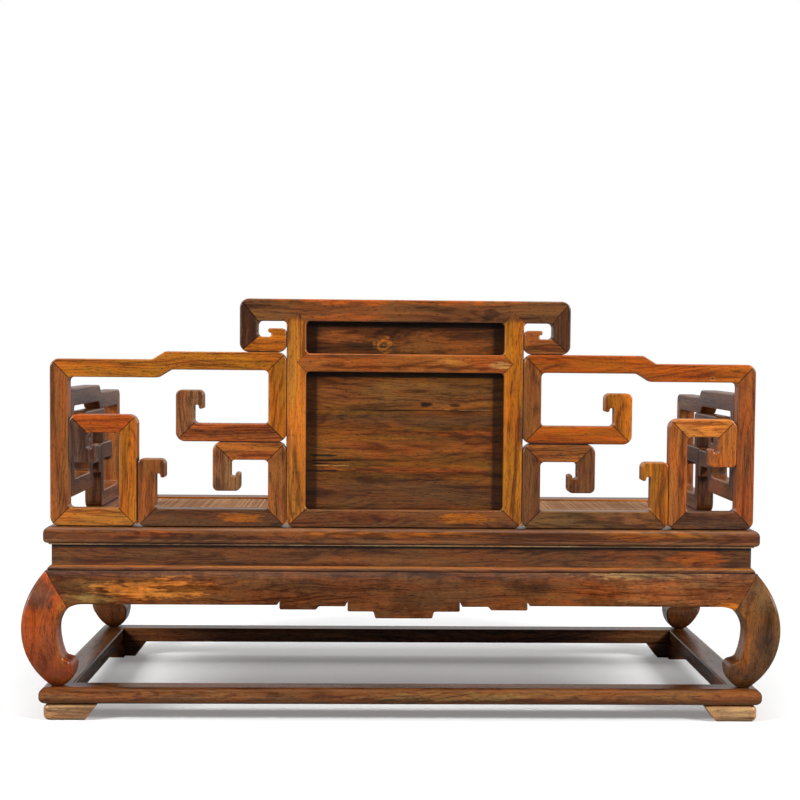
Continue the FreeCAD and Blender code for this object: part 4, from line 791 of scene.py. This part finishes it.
def waxed_wood(name, wood, node, polish=0.0, worn=0.45, figure=1.0, mottle=0.0, gloss=0.4, opening=None,
               touches=()):
    """Rosewood-like hardwood, planed and waxed: dark figure, growth rings, open pores and a soft shine,
    lighter arrises that are partly painted highlight, and painted shade in grooves and sunk panels.
    """
    material, tree = new_material(name)
    spot = add(tree, "ShaderNodeTexCoord").outputs["Object"]
    grain = add(tree, "ShaderNodeAttribute", {"attribute_name": "grain"}).outputs["Vector"]
    tone = add(tree, "ShaderNodeAttribute", {"attribute_name": "stain"}).outputs["Color"]
    # The grain wanders by a few millimetres over a hand's length.
    sway = drawn_out(tree, grain, SWAY_LENGTH, wood.figure_width * 2, 2.0).outputs["Color"]
    centred = add(tree, "ShaderNodeVectorMath", {"operation": "SUBTRACT"}, {0: sway, 1: (0.5, 0.5, 0.5)})
    sized = add(tree, "ShaderNodeVectorMath", {"operation": "SCALE"},
                {0: centred, "Scale": wood.figure_width * 0.7})
    bent = add(tree, "ShaderNodeVectorMath", {"operation": "ADD"}, {0: grain, 1: sized})

    long, wide = wood.figure_length, wood.figure_width
    broad = drawn_out(tree, bent, long, wide, 3.0, 0.5, 0.6)
    warm = drawn_out(tree, bent, long * 0.5, wide * 1.4, 3.0, 0.6)
    streak = drawn_out(tree, bent, wood.streak_length, wood.streak_width, 3.0, 0.75)
    fine = drawn_out(tree, bent, wood.streak_length * 0.5, wood.streak_width * 0.5)
    pores = drawn_out(tree, grain, wood.pore_length, wood.pore_width)
    # Contour lines of a long smooth noise run like growth rings through a sawn board.
    rise = drawn_out(tree, bent, long * 1.6, wide * 2.4, 1.0, 0.4)
    turns = wide * 2.4 / wood.ring_width
    climb = add(tree, "ShaderNodeMath", {"operation": "MULTIPLY"}, {0: rise, 1: turns * 2})
    ring = add(tree, "ShaderNodeMath", {"operation": "PINGPONG"}, {0: climb, 1: 0.5})
    ringed = dimmed(tree, 1.0, ring, dark=0.0, clear=0.32, kept=0.0)

    # One value from dark to light, then a shade between reddish dark, the stain and golden light.
    shade = total(tree, (broad, BROAD_SHARE * figure), (streak, STREAK_SHARE * figure),
                  (fine, FINE_SHARE * figure), (ringed, RING_SHARE * figure), (EVEN_TONE * figure, -1.0))
    tone = patched(tree, node, tone, spot, grain)
    deep, gold = [add(tree, "ShaderNodeVectorMath", {"operation": "MULTIPLY"}, {0: tone, 1: tint})
                  for tint in (DEEP_TINT, GOLD_TINT)]
    figured = laid_over(tree, deep, tone, shade, bare=-0.13, covered=0.02)
    figured = laid_over(tree, figured, gold, shade, bare=0.0, covered=0.15)
    ruddy, drab = [add(tree, "ShaderNodeVectorMath", {"operation": "MULTIPLY"}, {0: figured, 1: tint})
                   for tint in (RUDDY_TINT, DRAB_TINT)]
    hued = laid_over(tree, drab, ruddy, warm, bare=0.4, covered=0.6)
    if mottle:
        cloud = add(tree, "ShaderNodeTexNoise", {}, {
            "Vector": spot, "Scale": 1 / CLOUD_SIZE, "Detail": 5.0, "Roughness": 0.65})
        clouded = add(tree, "ShaderNodeVectorMath", {"operation": "MULTIPLY"}, {0: hued, 1: CLOUD_TINT})
        hued = laid_over(tree, hued, clouded, cloud, bare=0.56, covered=0.36, most=mottle)
    pored = dimmed(tree, 1.0, pores, dark=0.30, clear=0.43, kept=0.35)
    grained = add(tree, "ShaderNodeVectorMath", {"operation": "SCALE"}, {0: hued, "Scale": pored})

    # Rounded arrises face no axis squarely, and are drawn lighter: partly rubbed by hands, partly a painted
    # highlight where the rounding catches the lamps.
    normal = add(tree, "ShaderNodeNewGeometry").outputs["Normal"]
    squarely = largest(tree, add(tree, "ShaderNodeVectorMath", {"operation": "ABSOLUTE"}, {0: normal}))
    rubbed_and_highlit = laid_over(tree, grained, gold, squarely, bare=0.97, covered=0.8, most=worn)

    # Dark joint lines, painted shade in the grooves between bars and, on panels, painted shade round the
    # sunk opening.
    line = joint_lines_and_groove_shade(tree, wood, spot, touches)
    light = painted_recess_shade(tree, wood, spot, line, opening) if opening else line
    final = add(tree, "ShaderNodeVectorMath", {"operation": "SCALE"}, {0: rubbed_and_highlit, "Scale": light})

    depth = add(tree, "ShaderNodeMath", {"operation": "MULTIPLY"}, {0: pored, 1: line})
    relief = add(tree, "ShaderNodeBump", {}, {"Strength": 0.4, "Distance": PORE_DEPTH, "Height": depth})
    shine = add(tree, "ShaderNodeMapRange", {},
                {"Value": streak, "From Min": 0.3, "From Max": 0.7,
                 "To Min": wood.roughness - polish + 0.08, "To Max": wood.roughness - polish - 0.05})
    shader = add(tree, "ShaderNodeBsdfPrincipled", {}, {
        "Base Color": final, "Roughness": shine, "Normal": relief, "IOR": 1.5, "Specular IOR Level": gloss})
    add(tree, "ShaderNodeOutputMaterial", {}, {"Surface": shader})
    return material


CANE_WEAR = 2000 / 7 * MM
CANE_FIBRE = 10 / 9 * MM
CANE_RELIEF = 0.2 * MM


def woven_cane(mat):
    """Split cane, woven and polished by use: pinkish tan, each strand a little lighter or darker."""
    material, tree = new_material("woven_cane")
    place = add(tree, "ShaderNodeTexCoord").outputs["Object"]
    strand = add(tree, "ShaderNodeAttribute", {"attribute_name": "strand"}).outputs["Fac"]
    worn = add(tree, "ShaderNodeTexNoise", {}, {"Vector": place, "Scale": 1 / CANE_WEAR, "Detail": 4.0})
    fibres = add(tree, "ShaderNodeTexNoise", {}, {"Vector": place, "Scale": 1 / CANE_FIBRE, "Detail": 1.0})
    tint = add(tree, "ShaderNodeMix", {"data_type": "RGBA"}, {
        "Factor": strand, 6: list(mat.deep) + [1.0], 7: list(mat.pale) + [1.0]}).outputs[2]
    shade = add(tree, "ShaderNodeMapRange", {},
                {"Value": worn, "From Min": 0.3, "From Max": 0.7, "To Min": 0.72, "To Max": 1.15})
    shaded = add(tree, "ShaderNodeVectorMath", {"operation": "SCALE"}, {0: tint, "Scale": shade})
    relief = add(tree, "ShaderNodeBump", {}, {"Strength": 0.3, "Distance": CANE_RELIEF, "Height": fibres})
    shader = add(tree, "ShaderNodeBsdfPrincipled", {}, {
        "Base Color": shaded, "Roughness": 0.55, "Normal": relief, "IOR": 1.5, "Specular IOR Level": 0.0})
    add(tree, "ShaderNodeOutputMaterial", {}, {"Surface": shader})
    return material


PANEL_TONGUE = 8 * MM


def panel_opening(node):
    """The lowest and highest corner of the visible part of a panel, whose edges stand in grooves."""
    low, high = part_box(node)
    tongue = Vector((PANEL_TONGUE, 0, PANEL_TONGUE))
    return low + tongue, high - tongue


# How each kind of piece differs from plain waxed wood. Worn is how much lighter the rounded arrises are
# drawn, partly as wear and partly as painted highlight.
FINISHES = {
    "railing": {},
    "frame": {"worn": 0.3},
    "panel": {"worn": 0.1},
    "base": {"polish": 0.08, "worn": 0.3, "gloss": 0.3},
    "legs": {"polish": 0.08, "worn": 0.0, "figure": 0.6, "mottle": 0.35, "gloss": 0.3},
    "aprons": {"polish": 0.08, "worn": 0.0, "figure": 0.85, "mottle": 0.6, "gloss": 0.2},
}
# Each node's bars, and the woods made so far.
BARS = {}
WOODS = {}


def finish_of(node, kind):
    """The node's wood, made when first needed. Without patches of its own, it is its family's or kind's."""
    family = next((family for family in FAMILY_PATCHES if family in node), None)
    own = node in PATCHES or node in KNOTS or kind == "railing"
    key = node if own else family or kind
    if key not in WOODS:
        settings = dict(FINISHES[kind])
        if kind == "railing":
            settings["touches"] = [touch for bar in BARS[node] for touch in bar.touches]
        if node.endswith("_panel"):
            settings["opening"] = panel_opening(node)
        title = "waxed_%s_wood" % kind if key == kind else "waxed_" + key
        WOODS[key] = waxed_wood(title, bpy.context.scene.daybed_wood, node, **settings)
    return WOODS[key]


# Operators

def finish_nodes(names, width, kind):
    """Give every named node its finished piece."""
    if not BARS:
        BARS.update(read_bars())
    for node in names:
        chance = random.Random("%s %d" % (node, SEED))
        piece = wood_piece(node, BARS[node], stains_of(node), width, chance)
        piece.data.materials.append(finish_of(node, kind))
        stand_for(piece, node)


def nodes_with(*words):
    return [node for node in sorted(frame["nodes"]) if any(word in node for word in words)]


class DAYBED_OT_railings(bpy.types.Operator):
    """Finish the bars and scrolls of the back railing and the arms"""

    bl_idname = "daybed.railings"
    bl_label = "Railing Bars"

    def execute(self, context):
        finish_nodes(nodes_with("crest_", "stile", "back_bottom_rail", "back_middle_rail", "_wing_",
                                "_arm_"), 0, "railing")
        return {"FINISHED"}


class DAYBED_OT_panels(bpy.types.Operator):
    """Finish the two panels of the back railing and the waist boards"""

    bl_idname = "daybed.panels"
    bl_label = "Panels and Waist"

    def execute(self, context):
        finish_nodes(nodes_with("_panel", "waist_board"), context.scene.daybed_edges.board, "panel")
        return {"FINISHED"}


class DAYBED_OT_seat_frame(bpy.types.Operator):
    """Finish the seat rails, mouldings, mat strips, boards and tenons"""

    bl_idname = "daybed.seat_frame"
    bl_label = "Seat Frame"

    def execute(self, context):
        finish_nodes(nodes_with("seat_rail", "moulding", "strips", "seat_boards", "battens", "back_tenons"),
                     context.scene.daybed_edges.board, "frame")
        return {"FINISHED"}


class DAYBED_OT_legs(bpy.types.Operator):
    """Finish the bulging legs"""

    bl_idname = "daybed.legs"
    bl_label = "Legs"

    def execute(self, context):
        finish_nodes(nodes_with("_leg"), context.scene.daybed_edges.leg, "legs")
        return {"FINISHED"}


class DAYBED_OT_aprons(bpy.types.Operator):
    """Finish the carved aprons"""

    bl_idname = "daybed.aprons"
    bl_label = "Aprons"

    def execute(self, context):
        finish_nodes(nodes_with("_apron"), context.scene.daybed_edges.apron, "aprons")
        return {"FINISHED"}


class DAYBED_OT_base(bpy.types.Operator):
    """Finish the base rails and feet"""

    bl_idname = "daybed.base"
    bl_label = "Base Frame"

    def execute(self, context):
        finish_nodes(nodes_with("base_rail"), context.scene.daybed_edges.board, "base")
        finish_nodes(nodes_with("_foot"), context.scene.daybed_edges.board, "frame")
        return {"FINISHED"}


# A twill's strand passes over two others and under two, and then repeats.
TWILL_REPEAT = 4.0
TWILL_OVER = 1.5


def weave_tree(length, width, top, settings, cane):
    """Geometry nodes for a twill of flat strands: each passes over two, then under two, one on per row."""
    tree = bpy.data.node_groups.new("cane_weave", "GeometryNodeTree")
    tree.is_modifier = True
    tree.interface.new_socket("Geometry", in_out="INPUT", socket_type="NodeSocketGeometry")
    for name, value in (("Strand", settings.strand), ("Strand Share", settings.strand_share),
                        ("Lift", settings.lift)):
        socket = tree.interface.new_socket(name, in_out="INPUT", socket_type="NodeSocketFloat")
        socket.default_value = value
    tree.interface.new_socket("Geometry", in_out="OUTPUT", socket_type="NodeSocketGeometry")
    given = add(tree, "NodeGroupInput").outputs
    pitch = given["Strand"]
    strand_width = add(tree, "ShaderNodeMath", {"operation": "MULTIPLY"},
                       {0: pitch, 1: given["Strand Share"]})
    joined = add(tree, "GeometryNodeJoinGeometry")
    for long_way, run, spread in ((True, length, width), (False, width, length)):
        # One vertex on each crossing, so a strand ends half a crossing inside the mat's edge.
        counts = []
        reaches = []
        for side in (run, spread):
            share = add(tree, "ShaderNodeMath", {"operation": "DIVIDE"}, {0: side, 1: pitch})
            counts.append(add(tree, "ShaderNodeMath", {"operation": "FLOOR"}, {0: share}))
            gaps = add(tree, "ShaderNodeMath", {"operation": "SUBTRACT"}, {0: counts[-1], 1: 1.0})
            reaches.append(add(tree, "ShaderNodeMath", {"operation": "MULTIPLY"}, {0: gaps, 1: pitch}))
        crossings, strands = counts
        ribbon = add(tree, "GeometryNodeMeshGrid", {}, {
            "Size X": reaches[0], "Size Y": strand_width, "Vertices X": crossings, "Vertices Y": 2})
        middle = add(tree, "ShaderNodeMath", {"operation": "MULTIPLY"}, {0: reaches[0], 1: 0.5})
        first = add(tree, "ShaderNodeMath", {"operation": "MULTIPLY"}, {0: reaches[1], 1: -0.5})
        rows = add(tree, "GeometryNodeMeshLine", {"mode": "OFFSET"}, {
            "Count": strands,
            "Start Location": add(tree, "ShaderNodeCombineXYZ", {}, {"Y": first}),
            "Offset": add(tree, "ShaderNodeCombineXYZ", {}, {"Y": pitch})})
        marked = add(tree, "GeometryNodeStoreNamedAttribute", {"data_type": "FLOAT", "domain": "POINT"}, {
            "Geometry": rows, "Name": "row", "Value": add(tree, "GeometryNodeInputIndex")})
        tone = add(tree, "FunctionNodeRandomValue", {"data_type": "FLOAT"}, {"Seed": SEED + int(long_way)})
        dyed = add(tree, "GeometryNodeStoreNamedAttribute", {"data_type": "FLOAT", "domain": "POINT"}, {
            "Geometry": marked, "Name": "strand", "Value": tone.outputs[1]})
        laid = add(tree, "GeometryNodeInstanceOnPoints", {}, {"Points": dyed, "Instance": ribbon})
        real = add(tree, "GeometryNodeRealizeInstances", {}, {"Geometry": laid})
        along = add(tree, "ShaderNodeSeparateXYZ", {}, {0: add(tree, "GeometryNodeInputPosition")})
        run_so_far = add(tree, "ShaderNodeMath", {"operation": "ADD"}, {0: along, 1: middle})
        passed = add(tree, "ShaderNodeMath", {"operation": "DIVIDE"}, {0: run_so_far, 1: pitch})
        column = add(tree, "ShaderNodeMath", {"operation": "ROUND"}, {0: passed})
        row = add(tree, "GeometryNodeInputNamedAttribute", {"data_type": "FLOAT"}, {"Name": "row"})
        turn = add(tree, "ShaderNodeMath", {"operation": "ADD"}, {0: column, 1: row})
        beat = add(tree, "ShaderNodeMath", {"operation": "MODULO"}, {0: turn, 1: TWILL_REPEAT})
        over = add(tree, "ShaderNodeMath", {"operation": "LESS_THAN"}, {0: beat, 1: TWILL_OVER})
        # The cross strands pass under where these pass over.
        sign = 1.0 if long_way else -1.0
        side = add(tree, "ShaderNodeMath", {"operation": "MULTIPLY_ADD"}, {0: over, 1: 2 * sign, 2: -sign})
        rise = add(tree, "ShaderNodeMath", {"operation": "MULTIPLY"}, {0: side, 1: given["Lift"]})
        lifted = add(tree, "GeometryNodeSetPosition", {}, {
            "Geometry": real, "Offset": add(tree, "ShaderNodeCombineXYZ", {}, {"Z": rise})})
        turned = add(tree, "GeometryNodeTransform", {}, {
            "Geometry": lifted, "Rotation": (0, 0, 0 if long_way else math.pi / 2)})
        tree.links.new(turned.outputs[0], joined.inputs[0])
    raised = add(tree, "GeometryNodeTransform", {}, {"Geometry": joined, "Translation": (0, 0, top)})
    finished = add(tree, "GeometryNodeSetMaterial", {}, {"Geometry": raised, "Material": cane})
    add(tree, "NodeGroupOutput", {}, {0: finished})
    return tree


# The mat's edge under the strips, where no weave shows.
MAT_EDGE = 17 * MM


class DAYBED_OT_mat(bpy.types.Operator):
    """Weave the cane mat over a thin backing sheet"""

    bl_idname = "daybed.mat"
    bl_label = "Cane Mat"

    def execute(self, context):
        settings = context.scene.daybed_mat
        cane = woven_cane(settings)
        low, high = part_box("seat_mat")
        length = high.x - low.x - 2 * MAT_EDGE
        width = high.y - low.y - 2 * MAT_EDGE
        top = high.z - settings.lift * 1.2
        woven = bpy.data.objects.new("cane_mat", bpy.data.meshes.new("cane_mat"))
        context.scene.collection.objects.link(woven)
        modifier = woven.modifiers.new("Weave", "NODES")
        modifier.node_group = weave_tree(length, width, top, settings, cane)
        evaluated = woven.evaluated_get(context.evaluated_depsgraph_get())
        mesh = bpy.data.meshes.new_from_object(evaluated)
        woven.modifiers.clear()
        mesh.name = "cane_mat"
        woven.data = mesh
        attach(woven, body_of("seat_mat"))

        shape = bmesh.new()
        bmesh.ops.create_cube(shape, size=1.0)
        backing_top = top - settings.lift * 2
        size = Vector((high.x - low.x, high.y - low.y, backing_top - low.z))
        bmesh.ops.transform(shape, matrix=Matrix.Diagonal(size.to_4d()), verts=shape.verts)
        bmesh.ops.translate(shape, vec=Vector((0, 0, (backing_top + low.z) / 2)), verts=shape.verts)
        sheet = bpy.data.meshes.new("mat_backing")
        shape.to_mesh(sheet)
        shape.free()
        sheet.materials.append(cane)
        backing = bpy.data.objects.new("mat_backing", sheet)
        context.scene.collection.objects.link(backing)
        stand_for(backing, "seat_mat")
        return {"FINISHED"}


def area_lamp(name, place, aim, size, power):
    lamp = bpy.data.lights.new(name, "AREA")
    lamp.shape = "RECTANGLE"
    lamp.size, lamp.size_y = size
    lamp.energy = power
    thing = bpy.data.objects.new(name, lamp)
    bpy.context.scene.collection.objects.link(thing)
    thing.location = place
    thing.rotation_euler = (Vector(aim) - Vector(place)).to_track_quat("-Z", "Y").to_euler()
    return thing


WHITE = linear("#FFFFFF") + [1.0]
FLOOR_GREY = linear("#9A9A9A") + [1.0]
FLOOR_SIZE = 60
# The floor's shadow fades to plain white between these distances from the daybed's middle.
FADE_START = 1.3
FADE_END = 3.0
FADE_LEAST = 0.2


def pale_floor():
    """A matt floor that looks white, and throws only a little light up under the daybed."""
    material, tree = new_material("pale_floor")
    place = add(tree, "ShaderNodeTexCoord").outputs["Object"]
    far = add(tree, "ShaderNodeVectorMath", {"operation": "LENGTH"}, {0: place}).outputs["Value"]
    fade = add(tree, "ShaderNodeMapRange", {"interpolation_type": "SMOOTHSTEP"},
               {"Value": far, "From Min": FADE_START, "From Max": FADE_END, "To Min": FADE_LEAST})
    seen = add(tree, "ShaderNodeLightPath").outputs["Is Camera Ray"]
    pale = add(tree, "ShaderNodeMix", {"data_type": "RGBA"}, {
        "Factor": seen, 6: FLOOR_GREY, 7: WHITE}).outputs[2]
    matt = add(tree, "ShaderNodeBsdfDiffuse", {}, {"Color": pale})
    white = add(tree, "ShaderNodeEmission", {}, {"Color": WHITE, "Strength": 1.0})
    straight = add(tree, "ShaderNodeMath", {"operation": "MULTIPLY"}, {0: fade, 1: seen})
    either = add(tree, "ShaderNodeMixShader", {}, {0: straight, 1: matt, 2: white})
    add(tree, "ShaderNodeOutputMaterial", {}, {"Surface": either})
    return material


# How bright the surroundings are to the camera, as plain light, and where the wood mirrors them: bright on
# the far side and dark behind the camera.
SEEN_LIGHT = 1.0
PLAIN_LIGHT = 0.12
MIRRORED_FAR = 0.6
MIRRORED_NEAR = 0.05
# How far towards the camera, and away from it, the reflected way has to point for these two.
NEAR_WAY = 0.3
FAR_WAY = -0.4


def white_room():
    """Surroundings that look white and light the daybed softly."""
    world = bpy.data.worlds.new("white_room")
    world.use_nodes = True
    tree = world.node_tree
    tree.nodes.clear()
    seen = add(tree, "ShaderNodeLightPath").outputs
    way = add(tree, "ShaderNodeSeparateXYZ", {}, {0: add(tree, "ShaderNodeTexCoord").outputs["Generated"]})
    mirrored = add(tree, "ShaderNodeMapRange", {"interpolation_type": "SMOOTHSTEP"}, {
        "Value": way.outputs[1], "From Min": NEAR_WAY, "From Max": FAR_WAY,
        "To Min": MIRRORED_NEAR, "To Max": MIRRORED_FAR})
    glossy = add(tree, "ShaderNodeMix", {"data_type": "FLOAT"}, {
        "Factor": seen["Is Glossy Ray"], "A": PLAIN_LIGHT, "B": mirrored})
    strength = add(tree, "ShaderNodeMix", {"data_type": "FLOAT"}, {
        "Factor": seen["Is Camera Ray"], "A": glossy, "B": SEEN_LIGHT})
    sky = add(tree, "ShaderNodeBackground", {}, {"Color": WHITE, "Strength": strength})
    add(tree, "ShaderNodeOutputWorld", {}, {"Surface": sky})
    return world


SENSOR_WIDTH = 36
# The photograph is cut off-centre, and the camera's shift matches that.
CAMERA_SHIFT = (-0.0386, 0.0611)


def set_camera(stage):
    """The camera behind the daybed, turned, tipped and rolled as in the photograph."""
    lens = bpy.data.cameras.new("camera")
    lens.sensor_width = SENSOR_WIDTH
    lens.lens = stage.lens
    lens.shift_x, lens.shift_y = CAMERA_SHIFT
    camera = bpy.data.objects.new("camera", lens)
    bpy.context.scene.collection.objects.link(camera)
    level = math.cos(stage.pitch)
    forward = Vector((-math.sin(stage.yaw) * level, -math.cos(stage.yaw) * level, -math.sin(stage.pitch)))
    turn = forward.to_track_quat("-Z", "Y").to_matrix().to_4x4()
    roll = Matrix.Rotation(stage.roll, 4, "Z")
    camera.matrix_world = Matrix.Translation(stage.camera_place) @ turn @ roll
    bpy.context.scene.camera = camera


class DAYBED_OT_stage(bpy.types.Operator):
    """Set the floor, the white surroundings, the lamps and the camera"""

    bl_idname = "daybed.stage"
    bl_label = "Stage"

    def execute(self, context):
        stage = context.scene.daybed_stage
        bpy.ops.mesh.primitive_plane_add(size=FLOOR_SIZE)
        floor = context.object
        floor.name = "floor"
        floor.data.materials.append(pale_floor())
        context.scene.world = white_room()
        aim = (0, 0.2, 0.5)
        area_lamp("key_right", (3.4, 2.6, 2.3), aim, (0.9, 1.2), stage.key_power)
        area_lamp("key_left", (-3.4, 2.6, 2.3), aim, (0.9, 1.2), stage.key_power)
        area_lamp("top", (0, 0.6, 3.4), (0, 0.2, 0), (3.6, 2.2), stage.top_power)
        # The fill lamp brightens the floor and the open side, and leaves no glare on the rails' tops.
        area_lamp("fill", (0, -4.2, 2.2), aim, (3.0, 2.0), stage.fill_power).visible_glossy = False
        set_camera(stage)
        context.scene.view_settings.view_transform = "Standard"
        return {"FINISHED"}


class DAYBED_PT_panel(bpy.types.Panel):
    """The daybed's pieces in the sidebar"""

    bl_idname = "DAYBED_PT_panel"
    bl_label = "Luohan Daybed"
    bl_space_type = "VIEW_3D"
    bl_region_type = "UI"
    bl_category = "Daybed"

    def draw(self, context):
        for operator in OPERATORS:
            self.layout.operator(operator.bl_idname)
        for group in PROPERTY_GROUPS.values():
            settings = getattr(context.scene, group)
            for name in settings.bl_rna.properties.keys():
                if name not in ("rna_type", "name"):
                    self.layout.prop(settings, name)


OPERATORS = (DAYBED_OT_railings, DAYBED_OT_panels, DAYBED_OT_seat_frame, DAYBED_OT_legs, DAYBED_OT_aprons,
             DAYBED_OT_base, DAYBED_OT_mat, DAYBED_OT_stage)
PROPERTY_GROUPS = {DaybedWood: "daybed_wood", DaybedStains: "daybed_stains", DaybedEdges: "daybed_edges",
                   DaybedMat: "daybed_mat", DaybedStage: "daybed_stage"}


def register():
    for group, name in PROPERTY_GROUPS.items():
        bpy.utils.register_class(group)
        setattr(bpy.types.Scene, name, bpy.props.PointerProperty(type=group))
    for operator in OPERATORS:
        bpy.utils.register_class(operator)
    bpy.utils.register_class(DAYBED_PT_panel)


def unregister():
    bpy.utils.unregister_class(DAYBED_PT_panel)
    for operator in reversed(OPERATORS):
        bpy.utils.unregister_class(operator)
    for group, name in PROPERTY_GROUPS.items():
        delattr(bpy.types.Scene, name)
        bpy.utils.unregister_class(group)


def main():
    register()
    bpy.ops.daybed.railings()
    bpy.ops.daybed.panels()
    bpy.ops.daybed.seat_frame()
    bpy.ops.daybed.legs()
    bpy.ops.daybed.aprons()
    bpy.ops.daybed.base()
    bpy.ops.daybed.mat()
    bpy.ops.daybed.stage()


if __name__ == "__main__":
    main()
